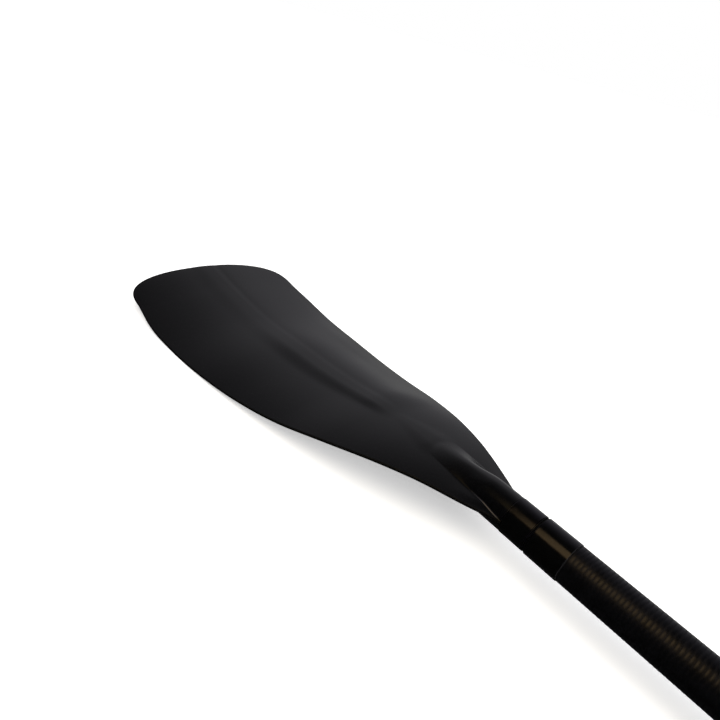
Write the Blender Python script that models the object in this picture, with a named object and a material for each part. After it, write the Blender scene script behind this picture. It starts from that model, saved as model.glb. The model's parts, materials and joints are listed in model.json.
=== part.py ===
# Adjustable stand-up paddle: moulded blade, take-down joint, carbon shaft, lever clamp,
# telescoping handle shaft and palm grip.
#
# Everything is first laid out along the shaft: X runs from the blade (negative) to the grip (positive),
# Y across the blade, Z out of the blade's power face, and X = 0 is the end of the blade's neck.
# An empty then lays the whole paddle on the floor, on the two long edges of the blade and on the clamp.

import math

import bmesh
import bpy
import numpy as np
from mathutils import Matrix, Vector

mm = 0.001

# Clearances
seat_gap = 0.3 * mm
slide_gap = 0.15 * mm
grip_gap = 0.1 * mm

# How far a cutting shape runs past the piece it cuts
cut_past = 5.0 * mm

# Main shaft and handle shaft
shaft_outer_diameter = 29.0 * mm
shaft_wall = 1.3 * mm
shaft_length = 1148.5 * mm
handle_shaft_diameter = 25.4 * mm
handle_shaft_wall = 1.25 * mm

# Take-down joint between the blade and the main shaft
neck_diameter = 28.56 * mm
collar_diameter = 29.15 * mm
collar_length = 19.4 * mm
seal_thickness = 1.4 * mm
seal_recess = 0.5 * mm
ferrule_diameter = 29.75 * mm
ferrule_length = 25.5 * mm
ferrule_lip = 1.5 * mm
ferrule_wall = 0.68 * mm
spigot_wall = 1.9 * mm
spigot_in_blade = 20.0 * mm
spigot_in_shaft = 74.0 * mm
foam_plug_length = 40.0 * mm
foam_plug_inset = 4.0 * mm

# Lock button and its leaf spring
button_diameter = 8.0 * mm
button_stand_out = 2.0 * mm
button_flange_diameter = 10.4 * mm
button_flange_thickness = 1.6 * mm
button_dome = 1.2 * mm
spring_strip_width = 7.0 * mm
spring_strip_thickness = 0.6 * mm
spring_reach = 28.0 * mm
spring_bend_radius = 3.5 * mm
spring_pad_length = 7.0 * mm
spring_foot_lift = 0.4 * mm

# Blade outline: distance from the neck, half width
blade_side = [(0, 14.6), (6, 16.6), (18, 22.7), (50, 36.5), (110, 59.0), (175, 76.6), (215, 84.2),
              (262, 90.9), (316, 95.1), (355, 96.6), (388, 93.9)]
blade_length = 427.0 * mm
tip_squareness = 3.58
tip_corner_share = 45.0

# Blade centre line: distance from the neck, height of the power face over the shaft's axis
blade_bend = [(0, 1.4), (25, 3.6), (60, 6.2), (90, 5.4), (130, 0.8), (175, -6.6), (215, -11.0),
              (262, -14.1), (322, -16.7), (380, -13.8), (427, -9.0)]
edge_drop_at_neck = 22.8 * mm
edge_drop_at_tip = 10.4 * mm
edge_drop_half_width = 95.0 * mm
blade_edge_thickness = 2.4 * mm
blade_centre_thickness = 5.0 * mm
blade_rim_rounding = 0.8 * mm
blade_tip_thinning = 0.45

# Rib along the power face: its flank is short on one side, and on the other it runs out over half the blade
rib_height = 2.2 * mm
rib_crest_at_start = 3.0 * mm
rib_crest_spread = 3.5 * mm
rib_foot_at_start = 15.0 * mm
rib_foot_spread = 10.0 * mm
rib_far_crest = 16.0 * mm
rib_far_foot = 62.0 * mm
rib_start = 116.0 * mm
rib_full = 150.0 * mm
rib_fade = 240.0 * mm
rib_low = 315.0 * mm
rib_tip_share = 0.2

# Fairing: the neck's tube runs on over the blade, sinks into its power face and turns into a rounded ridge.
# The drop stations are the distance from the neck and how far the top has come down from the tube's.
fairing_drop = [(0, 0), (14, 0), (22, 0.15), (28, 0.8), (36, 2.0), (52, 4.2), (66, 6.1), (72, 7.0),
                (76, 7.9), (80, 9.4)]
fairing_round_end = 22.0 * mm
fairing_ridge_full = 48.0 * mm
fairing_foot = 14.8 * mm
fairing_foot_overlap = 0.6 * mm
fairing_crest_share = 0.35
ramp_length = 42.0 * mm
ramp_height = 0.9 * mm
ramp_flank = 5.0 * mm
fairing_sunk_height = 1.0 * mm
back_fairing_full = 54.0 * mm
back_fairing_length = 190.0 * mm
back_rib_half_width = 8.0 * mm
back_rib_depth = 2.0 * mm
back_rib_end = 367.0 * mm

# Lever clamp
clamp_on_shaft = 28.0 * mm
clamp_over_handle = 25.5 * mm
clamp_wall = 4.7 * mm
clamp_chamfer = 1.0 * mm
clamp_land_depth = 0.8 * mm
slit_width = 2.2 * mm
slit_relief_diameter = 4.0 * mm
slit_stop = 9.0 * mm
lug_thickness = 7.0 * mm
lug_length = 25.0 * mm
lug_height = 31.0 * mm
lug_setback = 3.0 * mm
lug_root_cover = 1.5 * mm
lug_rounding = 3.0 * mm
bolt_diameter = 3.8 * mm
bolt_height = 24.5 * mm
bolt_head_diameter = 7.0 * mm
bolt_head_height = 4.0 * mm
bolt_socket_across = 3.0 * mm
bolt_socket_depth = 2.8 * mm
bolt_past_pin_centre = 1.4 * mm
washer_thickness = 1.2 * mm
washer_overhang = 0.8 * mm
cam_pin_diameter = 7.0 * mm
cam_pin_inset = 1.0 * mm
cam_radius = 5.7 * mm
cam_offset = 0.8 * mm
lever_width = 24.0 * mm
lever_thickness = 3.6 * mm
lever_root_angle = 36.0
lever_reach_angle = 118.0
lever_root_lift = 2.4 * mm
lever_tip_lift = 2.2 * mm
lever_clearance = 0.5 * mm
lever_slot_width = 5.0 * mm
lever_slot_back = 5.2 * mm
liner_wall = 1.1 * mm
liner_flange = 1.5 * mm
liner_flange_width = 2.0 * mm

# Handle
rest_extension = 150.0 * mm
extension_left = 285.0 * mm
glide_ring_length = 40.0 * mm
end_plug_flange = 4.0 * mm
end_plug_stem = 15.0 * mm
plug_core_diameter = 18.0 * mm
handle_collar_length = 8.0 * mm
handle_collar_wall = 2.6 * mm
handle_socket_depth = 30.0 * mm
grip_width = 104.0 * mm
grip_depth = 31.0 * mm
grip_height = 54.0 * mm
grip_cover_height = 21.0 * mm
grip_cover_thickness = 2.4 * mm

# Facets of the round pieces
tube_sides = 48
small_sides = 24

# Radii and places worked out from the sizes above
shaft_r = shaft_outer_diameter / 2
shaft_bore_r = shaft_r - shaft_wall
spigot_r = shaft_bore_r - seat_gap
spigot_bore_r = spigot_r - spigot_wall
neck_r = neck_diameter / 2
collar_r = collar_diameter / 2
ferrule_r = ferrule_diameter / 2
handle_shaft_r = handle_shaft_diameter / 2
handle_bore_r = handle_shaft_r - handle_shaft_wall

collar_start = seat_gap
collar_end = collar_start + collar_length
seal_start = collar_end + seat_gap
seal_end = seal_start + seal_thickness
ferrule_start = seal_end + seat_gap
ferrule_end = ferrule_start + ferrule_length
shaft_start = ferrule_start + ferrule_lip + seat_gap
shaft_end = shaft_start + shaft_length
spigot_end = ferrule_start + spigot_in_shaft
button_x = (ferrule_start + ferrule_end) / 2

liner_r = handle_shaft_r + grip_gap
clamp_r = shaft_r + seat_gap + clamp_wall
clamp_start = shaft_end - clamp_on_shaft
clamp_end = shaft_end + clamp_over_handle
liner_start = shaft_end + seat_gap
liner_end = clamp_end + seat_gap + liner_flange
bolt_x = clamp_end - lug_length / 2 - lug_setback
lug_face = slit_width / 2 + lug_thickness
cam_pin_y = lug_face + seat_gap + washer_thickness + seat_gap + cam_radius + cam_offset

collar_ring_start = liner_end + rest_extension
grip_start = collar_ring_start + handle_collar_length + seat_gap
grip_end = grip_start + grip_height
glide_end = liner_start - seat_gap - extension_left
glide_start = glide_end - glide_ring_length
handle_shaft_start = glide_end + seat_gap
handle_shaft_end = grip_start + handle_socket_depth - seat_gap

for old in list(bpy.data.objects):
    bpy.data.objects.remove(old, do_unlink=True)


def material(name, colour, roughness, metallic=0.0):
    made = bpy.data.materials.new(name)
    made.use_nodes = True
    shader = made.node_tree.nodes["Principled BSDF"]
    shader.inputs["Base Color"].default_value = (*colour, 1.0)
    shader.inputs["Roughness"].default_value = roughness
    shader.inputs["Metallic"].default_value = metallic
    return made


blade_nylon = material("blade_nylon", (0.022, 0.022, 0.025), 0.42)
gloss_black = material("gloss_black", (0.010, 0.010, 0.011), 0.16)
carbon_tube = material("carbon_tube", (0.014, 0.014, 0.018), 0.28)
clamp_nylon = material("clamp_nylon", (0.020, 0.020, 0.022), 0.45)
soft_rubber = material("soft_rubber", (0.030, 0.030, 0.032), 0.80)
steel = material("steel", (0.60, 0.60, 0.60), 0.28, 1.0)
spring_steel = material("spring_steel", (0.45, 0.46, 0.48), 0.32, 1.0)
white_acetal = material("white_acetal", (0.75, 0.75, 0.72), 0.40)
closed_foam = material("closed_foam", (0.20, 0.20, 0.21), 0.90)
grey_alloy = material("grey_alloy", (0.45, 0.46, 0.48), 0.35, 1.0)

paddle = bpy.data.objects.new("paddle_on_floor", None)
bpy.context.collection.objects.link(paddle)


def finish(bm, name, look, at=(0, 0, 0), sharp=35.0):
    # One object from a bmesh, hung from the empty that lays the paddle down
    bmesh.ops.remove_doubles(bm, verts=bm.verts, dist=1e-7)
    bmesh.ops.recalc_face_normals(bm, faces=bm.faces)
    mesh = bpy.data.meshes.new(name)
    bm.to_mesh(mesh)
    bm.free()
    mesh.shade_smooth()
    mesh.set_sharp_from_angle(angle=math.radians(sharp))
    if look:
        mesh.materials.append(look)
    made = bpy.data.objects.new(name, mesh)
    bpy.context.collection.objects.link(made)
    made.parent = paddle
    made.location = at
    return made


def guide(made):
    made.hide_render = True
    made.display_type = "WIRE"
    return made


def boolean(target, other, operation="DIFFERENCE"):
    step = target.modifiers.new(other.name, "BOOLEAN")
    step.operation = operation
    step.solver = "EXACT"
    step.object = other


def turned_bmesh(profile, sides, axis="X"):
    # profile: (along, radius) points in order; it stays open where both its ends lie on the axis
    bm = bmesh.new()
    verts = [bm.verts.new((along, 0, radius)) for along, radius in profile]
    edges = [bm.edges.new(pair) for pair in zip(verts, verts[1:])]
    if profile[0][1] > 0 or profile[-1][1] > 0:
        edges.append(bm.edges.new((verts[-1], verts[0])))
    bmesh.ops.spin(bm, geom=verts + edges, cent=(0, 0, 0), axis=(1, 0, 0), angle=math.tau,
                   steps=sides, use_merge=True)
    if axis == "Y":
        bmesh.ops.rotate(bm, verts=bm.verts, cent=(0, 0, 0), matrix=Matrix.Rotation(math.pi / 2, 3, "Z"))
    if axis == "-Z":
        bmesh.ops.rotate(bm, verts=bm.verts, cent=(0, 0, 0), matrix=Matrix.Rotation(math.pi / 2, 3, "Y"))
    return bm


def turned(name, profile, look, at=(0, 0, 0), sides=tube_sides, axis="X"):
    return finish(turned_bmesh(profile, sides, axis), name, look, at)


def tube(name, start, end, outer, inner, look, at=(0, 0, 0), sides=tube_sides, axis="X"):
    profile = [(start, inner), (start, outer), (end, outer), (end, inner)]
    return turned(name, profile, look, at, sides, axis)


def rod(name, start, end, radius, look, at=(0, 0, 0), sides=small_sides, axis="X"):
    profile = [(start, 0), (start, radius), (end, radius), (end, 0)]
    return turned(name, profile, look, at, sides, axis)


def box(name, low, high, look=None, at=(0, 0, 0)):
    bm = bmesh.new()
    bmesh.ops.create_cube(bm, size=1.0)
    centre = [(a + b) / 2 for a, b in zip(low, high)]
    size = [b - a for a, b in zip(low, high)]
    bmesh.ops.scale(bm, vec=size, verts=bm.verts)
    bmesh.ops.translate(bm, vec=centre, verts=bm.verts)
    return finish(bm, name, look, at)


def strip(name, path, thickness, low, high, look, at=(0, 0, 0), plane="XZ"):
    # A flat strip whose middle follows a path in the given plane, between low and high across it
    points = [Vector(point) for point in path]
    sides = ([], [])
    for index, point in enumerate(points):
        before = points[max(index - 1, 0)]
        after = points[min(index + 1, len(points) - 1)]
        along = (after - before).normalized()
        normal = Vector((-along.y, along.x)) * thickness / 2
        sides[0].append(point + normal)
        sides[1].append(point - normal)
    outline = sides[0] + sides[1][::-1]
    bm = bmesh.new()
    if plane == "XZ":
        corners = [bm.verts.new((point.x, low, point.y)) for point in outline]
        push = (0, high - low, 0)
    else:
        corners = [bm.verts.new((low, point.x, point.y)) for point in outline]
        push = (high - low, 0, 0)
    face = bm.faces.new(corners)
    pushed = bmesh.ops.extrude_face_region(bm, geom=[face])["geom"]
    moved = [part for part in pushed if isinstance(part, bmesh.types.BMVert)]
    bmesh.ops.translate(bm, vec=push, verts=moved)
    bmesh.ops.triangulate(bm, faces=[f for f in bm.faces if len(f.verts) > 4])
    return finish(bm, name, look, at)


def loft(name, rings, look, at=(0, 0, 0), sharp=35.0):
    # rings: closed rings of as many points each, joined in order and capped at both ends
    bm = bmesh.new()
    rows = [[bm.verts.new(point) for point in ring] for ring in rings]
    count = len(rows[0])
    for row, after in zip(rows, rows[1:]):
        for index in range(count):
            follow = (index + 1) % count
            bm.faces.new((row[index], row[follow], after[follow], after[index]))
    bm.faces.new(rows[0][::-1])
    bm.faces.new(rows[-1])
    bmesh.ops.triangulate(bm, faces=[f for f in bm.faces if len(f.verts) > 4])
    return finish(bm, name, look, at, sharp)


def smooth_through(stations):
    # A smooth curve through (place, value) stations given in millimetres
    places = np.array([place for place, value in stations]) * mm
    values = np.array([value for place, value in stations]) * mm
    slopes = np.gradient(values, places)

    def value_at(place):
        place = min(max(place, places[0]), places[-1])
        index = min(int(np.searchsorted(places, place, side="right")) - 1, len(places) - 2)
        span = places[index + 1] - places[index]
        t = (place - places[index]) / span
        start = (2 * t**3 - 3 * t**2 + 1) * values[index] + (t**3 - 2 * t**2 + t) * span * slopes[index]
        stop = (3 * t**2 - 2 * t**3) * values[index + 1] + (t**3 - t**2) * span * slopes[index + 1]
        return float(start + stop)

    return value_at


def ease(low, high, value):
    share = min(max((value - low) / (high - low), 0.0), 1.0)
    return share * share * (3 - 2 * share)


# Blade: one skin over rows that run across it, with the neck's tube joined on and bored out
half_width_at = smooth_through(blade_side)
bend_at = smooth_through(blade_bend)
fairing_drop_at = smooth_through(fairing_drop)
fairing_nose = fairing_drop[-1][0] * mm
side_end = blade_side[-1][0] * mm
side_end_half_width = blade_side[-1][1] * mm
tip_depth = blade_length - side_end


def tip_point(angle):
    # The tip is a quarter of a superellipse on each side of the centre line
    power = 2 / tip_squareness
    across = side_end_half_width * max(math.cos(math.radians(angle)), 0.0) ** power
    along = side_end + tip_depth * math.sin(math.radians(angle)) ** power
    return along, across


corner_along, corner_across = tip_point(tip_corner_share)


def tip_along(across):
    share = min(abs(across), corner_across) / side_end_half_width
    return side_end + tip_depth * (1 - share**tip_squareness) ** (1 / tip_squareness)


def rib_rise(along, across):
    # The rib grows out of the face, keeps its height and runs on low to the tip
    grow = ease(rib_start, rib_full, along)
    fade = 1 - (1 - rib_tip_share) * ease(rib_fade, rib_low, along)
    spread = ease(rib_start, rib_fade, along)
    foot = rib_foot_at_start + rib_foot_spread * spread
    crest = rib_crest_at_start + rib_crest_spread * spread
    near = ease(-foot, -crest, across)
    far = 1 - ease(rib_far_crest, rib_far_foot, across)
    return rib_height * grow * fade * near * far


def ramp_rise(along, across):
    # Low pointed ramp in front of the fairing's nose
    share = min(max((fairing_nose + ramp_length - along) / ramp_length, 0.0), 1.0)
    reach = neck_r * share
    if reach <= 0 or along < back_fairing_full:
        return 0.0
    grow = ease(back_fairing_full, fairing_nose, along)
    return ramp_height * share * grow * (1 - ease(0.3 * reach, reach + ramp_flank, abs(across)))


def face_height(along, across):
    drop = edge_drop_at_neck + (edge_drop_at_tip - edge_drop_at_neck) * (along / blade_length) ** 2
    return bend_at(along) - drop * (across / edge_drop_half_width) ** 2


def thickness_at(along, across, half_width):
    share = min(abs(across) / half_width, 1.0)
    taper = 1 - blade_tip_thinning * ease(0.2, 1.0, along / blade_length)
    return blade_edge_thickness + (blade_centre_thickness * taper - blade_edge_thickness) * (1 - share**1.5)


def back_depth(along, across):
    # Rounded rib on the back, which the back fairing runs out into
    reach = back_rib_half_width
    share = min(abs(across) / reach, 1.0)
    fade = 1 - ease(back_fairing_length, back_rib_end, along)
    return back_rib_depth * fade * (1 - share**2) ** 2


def blade_rows():
    count = 30
    rows = [(side_end * index / count, None) for index in range(count + 1)]
    corner_steps = 6
    for index in range(1, corner_steps + 1):
        along, across = tip_point(tip_corner_share * index / corner_steps)
        rows.append((along, across))
    return rows


def across_places(half_width):
    # Columns: close together on the rib, evenly spread from there to the edges
    rib_foot = rib_foot_at_start + rib_foot_spread
    rib_crest = rib_crest_at_start
    near = [-rib_crest - (rib_foot - rib_crest) * share for share in (1, 0.78, 0.56, 0.36, 0.18, 0)]
    far = [0.5 * rib_far_crest, rib_far_crest, rib_foot]
    limit = min(1.0, 0.62 * half_width / rib_foot)
    inner = [place * limit for place in near + [0] + far]
    outer_count = 9
    outer = [inner[-1] + (half_width - inner[-1]) * (index / outer_count) ** 0.85
             for index in range(1, outer_count + 1)]
    return [-place for place in outer[::-1]] + inner + outer


def make_blade():
    bm = bmesh.new()
    tops = []
    bottoms = []
    rims = []
    for row_along, row_across in blade_rows():
        half_width = row_across if row_across is not None else half_width_at(row_along)
        share = row_along / corner_along
        top_row = []
        bottom_row = []
        for across in across_places(half_width):
            along = row_along + (tip_along(across) - corner_along) * share**6
            high = face_height(along, across)
            thick = thickness_at(along, across, half_width)
            if share > 0.999:
                thick = blade_edge_thickness
            rise = rib_rise(along, across) + ramp_rise(along, across)
            back = back_depth(along, across)
            top_row.append(bm.verts.new((-along, across, high + rise)))
            bottom_row.append(bm.verts.new((-along, across, high - thick - back)))
        tops.append(top_row)
        bottoms.append(bottom_row)
    columns = len(tops[0])
    for row in range(len(tops) - 1):
        for column in range(columns - 1):
            bm.faces.new((tops[row][column], tops[row][column + 1],
                          tops[row + 1][column + 1], tops[row + 1][column]))
            bm.faces.new((bottoms[row][column], bottoms[row + 1][column],
                          bottoms[row + 1][column + 1], bottoms[row][column + 1]))
    top_loop = [row[0] for row in tops] + tops[-1][1:-1] + [row[-1] for row in tops[::-1]] + tops[0][-2:0:-1]
    bottom_loop = ([row[0] for row in bottoms] + bottoms[-1][1:-1]
                   + [row[-1] for row in bottoms[::-1]] + bottoms[0][-2:0:-1])
    centre = Vector((-blade_length / 2, 0, 0))
    for top, bottom in zip(top_loop, bottom_loop):
        middle = (top.co + bottom.co) / 2
        outward = middle - centre
        outward.z = 0
        outward.normalize()
        rims.append(bm.verts.new(middle + outward * blade_rim_rounding))
    for index in range(len(top_loop)):
        follow = (index + 1) % len(top_loop)
        bm.faces.new((top_loop[index], top_loop[follow], rims[follow], rims[index]))
        bm.faces.new((rims[index], rims[follow], bottom_loop[follow], bottom_loop[index]))
    rim_points = [vert.co.copy() for vert in rims + bottom_loop]
    made = finish(bm, "blade", blade_nylon, sharp=40.0)
    return made, rim_points


def ridge_height(along, across):
    # Top of the fairing: the neck's round tube turns into a ridge with a rounded crest and straight flanks
    base = face_height(along, neck_r)
    ridge = ease(fairing_round_end, fairing_ridge_full, along)
    round_foot = math.sqrt(neck_r**2 - base**2)
    share = abs(across) / (round_foot * (1 - ridge) + fairing_foot * ridge)
    arc = (math.sqrt(max(neck_r**2 - (share * round_foot) ** 2, 0.0)) - base) / (neck_r - base)
    blunt = fairing_crest_share
    slant = 1 - (math.hypot(share, blunt) - blunt) / (math.hypot(1, blunt) - blunt)
    return base + (neck_r - fairing_drop_at(along) - base) * (arc * (1 - ridge) + slant * ridge)


def fairing_rings():
    # The neck's tube: it sinks into the power face and tapers into the rib on the back
    stations = [0.0, 0.5 * fairing_round_end] + [station[0] * mm for station in fairing_drop[2:]]
    stations += [0.5 * (fairing_drop[k][0] + fairing_drop[k + 1][0]) * mm for k in (4, 5)]
    stations = sorted(stations)
    stations += [fairing_nose + (back_fairing_length - fairing_nose) * share
                 for share in (0.03, 0.16, 0.34, 0.56, 0.78, 1)]
    rings = []
    count = 40
    for along in stations:
        taper = ease(back_fairing_full, back_fairing_length, along)
        ridge = ease(fairing_round_end, fairing_ridge_full, along)
        plate_middle = face_height(along, 0) - blade_centre_thickness / 2
        bottom_end = plate_middle - blade_centre_thickness / 2 - back_rib_depth * 0.4
        bottom = -neck_r * (1 - taper) + bottom_end * taper
        side = neck_r * (1 - 0.55 * taper)
        top_side = neck_r * (1 - ridge) + (fairing_foot + fairing_foot_overlap) * ridge
        middle = plate_middle * ease(0.0, fairing_nose, along)
        if along > fairing_nose:
            middle = plate_middle
        ring = []
        for index in range(count):
            turn = math.tau * index / count
            up = math.sin(turn)
            across = side * math.cos(turn)
            if up <= 1e-6:
                height = middle + (middle - bottom) * up
            elif along > fairing_nose:
                height = middle + fairing_sunk_height * up
            else:
                across = top_side * math.cos(turn)
                height = ridge_height(along, across)
            ring.append((-along, across, height))
        rings.append(ring)
    return rings


blade, blade_rim = make_blade()
fairing = guide(loft("blade_fairing", fairing_rings(), blade_nylon))
boolean(blade, fairing, "UNION")
socket = guide(rod("cut_blade_socket", -spigot_in_blade - seat_gap, cut_past, shaft_bore_r, None, sides=tube_sides))
boolean(blade, socket)
neck_face = guide(box("cut_neck_face", (0, -blade_length, -blade_length), (cut_past, blade_length, blade_length)))
boolean(blade, neck_face)

# Take-down joint
spigot = tube("spigot_tube", -spigot_in_blade, spigot_end, spigot_r, spigot_bore_r, grey_alloy)
foam_r = spigot_bore_r - seat_gap
foam_start = foam_plug_inset - spigot_in_blade
rod("spigot_plug", foam_start, foam_start + foam_plug_length, foam_r, closed_foam, sides=32)
tube("neck_collar", collar_start, collar_end, collar_r, shaft_bore_r, gloss_black)
tube("joint_seal", seal_start, seal_end, collar_r - seal_recess, shaft_bore_r, soft_rubber)

ferrule_bore_r = ferrule_r - ferrule_wall
ferrule_profile = [(ferrule_start, shaft_bore_r), (ferrule_start, ferrule_r), (ferrule_end, ferrule_r),
                   (ferrule_end, ferrule_bore_r), (ferrule_start + ferrule_lip, ferrule_bore_r),
                   (ferrule_start + ferrule_lip, shaft_bore_r)]
ferrule = turned("joint_ferrule", ferrule_profile, gloss_black)

shaft_seat_r = ferrule_bore_r - seat_gap
shaft_step = ferrule_end + seat_gap
shaft_profile = [(shaft_start, shaft_bore_r), (shaft_start, shaft_seat_r), (shaft_step, shaft_seat_r),
                 (shaft_step, shaft_r), (shaft_end, shaft_r), (shaft_end, shaft_bore_r)]
shaft = turned("main_shaft", shaft_profile, carbon_tube)
shaft_foam_start = spigot_end + foam_plug_inset
rod("shaft_plug", shaft_foam_start, shaft_foam_start + foam_plug_length, shaft_bore_r - seat_gap,
    closed_foam, sides=32)

# Lock button: it points out of the back of the paddle and is pushed in against a leaf spring
button_r = button_diameter / 2
flange_r = button_flange_diameter / 2
flange_top = math.sqrt((spigot_bore_r - seat_gap) ** 2 - flange_r**2)
flange_bottom = flange_top - button_flange_thickness
button_tip = ferrule_r + button_stand_out
button_profile = [(flange_bottom, 0), (flange_bottom, flange_r), (flange_top, flange_r), (flange_top, button_r),
                  (button_tip - button_dome, button_r), (button_tip - 0.35 * button_dome, 0.86 * button_r),
                  (button_tip, 0.55 * button_r), (button_tip, 0)]
turned("lock_button", button_profile, steel, at=(button_x, 0, 0), sides=small_sides, axis="-Z")
button_hole = guide(rod("cut_button_hole", 0.5 * spigot_bore_r, ferrule_r + cut_past, button_r + seat_gap, None,
                        at=(button_x, 0, 0), axis="-Z"))
for pierced in (spigot, ferrule, shaft):
    boolean(pierced, button_hole)

# The spring is a V of flat strip: one leg under the button, the other against the far wall
strip_half = spring_strip_width / 2
near_z = -(flange_bottom - seat_gap - spring_strip_thickness / 2)
far_z = math.sqrt((spigot_bore_r - seat_gap) ** 2 - strip_half**2) - spring_strip_thickness
spring_path = [(-spring_pad_length / 2, near_z), (spring_pad_length / 2, near_z)]
for step in range(9):
    turn = math.radians(-78 + 156 * step / 8)
    spring_path.append((spring_reach + spring_bend_radius * math.cos(turn), spring_bend_radius * math.sin(turn)))
spring_path.append((spring_pad_length / 2, far_z - spring_foot_lift))
spring_path.append((0, far_z))
strip("button_spring", spring_path, spring_strip_thickness, -strip_half, strip_half, spring_steel,
      at=(button_x, 0, 0))

# Lever clamp on the end of the main shaft
clamp_bore_r = shaft_r + seat_gap
liner_outer_r = liner_r + liner_wall
upper_bore_r = liner_outer_r + seat_gap
chamfer_r = clamp_r - clamp_chamfer
clamp_profile = [(clamp_start, clamp_bore_r), (clamp_start, chamfer_r), (clamp_start + clamp_chamfer, clamp_r),
                 (clamp_end - clamp_chamfer, clamp_r), (clamp_end, chamfer_r), (clamp_end, upper_bore_r),
                 (shaft_end + seat_gap, upper_bore_r), (shaft_end + seat_gap, clamp_bore_r)]
clamp = turned("clamp_body", clamp_profile, clamp_nylon)
lug_start = bolt_x - lug_length / 2
lugs = guide(box("clamp_lugs", (lug_start, -lug_face, clamp_bore_r + lug_root_cover),
                 (lug_start + lug_length, lug_face, lug_height), clamp_nylon))
lug_round = lugs.modifiers.new("round", "BEVEL")
lug_round.width = lug_rounding
lug_round.segments = 3
boolean(clamp, lugs, "UNION")
slit_start = clamp_start + slit_stop
slit_floor = liner_r / 2
slit = guide(box("cut_slit", (slit_start, -slit_width / 2, slit_floor),
                 (clamp_end + cut_past, slit_width / 2, lug_height + cut_past)))
relief = guide(rod("cut_slit_relief", -(lug_height + cut_past), -slit_floor, slit_relief_diameter / 2, None,
                   at=(slit_start, 0, 0), axis="-Z"))
bolt_hole = guide(rod("cut_bolt_hole", -lug_face - cut_past, lug_face + cut_past, bolt_diameter / 2 + seat_gap, None,
                      at=(bolt_x, 0, bolt_height), axis="Y"))
for cutter in (slit, relief, bolt_hole):
    boolean(clamp, cutter)

# Liner: a split bush that the clamp squeezes on the handle shaft
flange_outer_r = liner_outer_r + liner_flange_width
liner_profile = [(liner_start, liner_r), (liner_start, liner_outer_r), (clamp_end + seat_gap, liner_outer_r),
                 (clamp_end + seat_gap, flange_outer_r), (liner_end, flange_outer_r), (liner_end, liner_r)]
liner = turned("clamp_liner", liner_profile, white_acetal)
liner_slit = guide(box("cut_liner_slit", (liner_start - cut_past, -slit_width / 2, slit_floor),
                       (liner_end + cut_past, slit_width / 2, flange_outer_r + cut_past)))
boolean(liner, liner_slit)

# Bolt, washers and the pin it screws into
bolt_r = bolt_diameter / 2
head_r = bolt_head_diameter / 2
head_face = -(lug_face + seat_gap + washer_thickness + seat_gap)
pin_r = cam_pin_diameter / 2
bolt_end = cam_pin_y + bolt_past_pin_centre
bolt_profile = [(head_face - bolt_head_height, 0), (head_face - bolt_head_height, head_r), (head_face, head_r),
                (head_face, bolt_r), (bolt_end, bolt_r), (bolt_end, 0)]
bolt = turned("clamp_bolt", bolt_profile, steel, at=(bolt_x, 0, bolt_height), sides=small_sides, axis="Y")
head_end = head_face - bolt_head_height
key_socket = guide(rod("cut_key_socket", head_end - cut_past, head_end + bolt_socket_depth,
                       bolt_socket_across / math.sqrt(3), None, at=(bolt_x, 0, bolt_height), sides=6, axis="Y"))
boolean(bolt, key_socket)
tube("bolt_washer", -lug_face - seat_gap - washer_thickness, -lug_face - seat_gap, head_r + washer_overhang,
     bolt_r + seat_gap, steel, at=(bolt_x, 0, bolt_height), sides=small_sides, axis="Y")
tube("cam_washer", lug_face + seat_gap, lug_face + seat_gap + washer_thickness, cam_radius,
     bolt_r + seat_gap, steel, at=(bolt_x, 0, bolt_height), sides=small_sides, axis="Y")
pin = rod("cam_pin", -lever_width / 2 + cam_pin_inset, lever_width / 2 - cam_pin_inset, pin_r, steel,
          at=(bolt_x, cam_pin_y, bolt_height))
pin_thread = guide(rod("cut_pin_thread", -pin_r - cut_past, bolt_past_pin_centre + seat_gap, bolt_r + seat_gap, None,
                       at=(bolt_x, cam_pin_y, bolt_height), axis="Y"))
boolean(pin, pin_thread)

# Lever: a cam head on the pin and an arm that lies round the clamp
lever_origin = Vector((bolt_x, cam_pin_y, bolt_height))
lever = rod("clamp_lever", -lever_width / 2, lever_width / 2, cam_radius, clamp_nylon, at=lever_origin, sides=32)
for vert in lever.data.vertices:
    vert.co.y -= cam_offset
arm_r = clamp_r + seat_gap + lever_clearance + lever_thickness / 2
arm_path = []
for step in range(15):
    turn = math.radians(lever_root_angle + (lever_reach_angle - lever_root_angle) * step / 14)
    lift = lever_root_lift * max(0.0, 1 - step / 3) + lever_tip_lift * ease(9, 14, step)
    arm_path.append(((arm_r + lift) * math.sin(turn) - cam_pin_y, (arm_r + lift) * math.cos(turn) - bolt_height))
arm = guide(strip("lever_arm", arm_path, lever_thickness, -lever_width / 2, lever_width / 2, clamp_nylon,
                  at=lever_origin, plane="YZ"))
boolean(lever, arm, "UNION")
pin_hole = guide(rod("cut_pin_hole", -lever_width, lever_width, pin_r + seat_gap, None, at=lever_origin, sides=32))
slot_depth = cam_radius + cam_offset + cut_past
bolt_slot = guide(box("cut_bolt_slot", (-lever_slot_width / 2, -slot_depth, -bolt_r - seat_gap),
                      (lever_slot_width / 2, lever_slot_back, slot_depth), at=lever_origin))
boolean(lever, pin_hole)
boolean(lever, bolt_slot)

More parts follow.
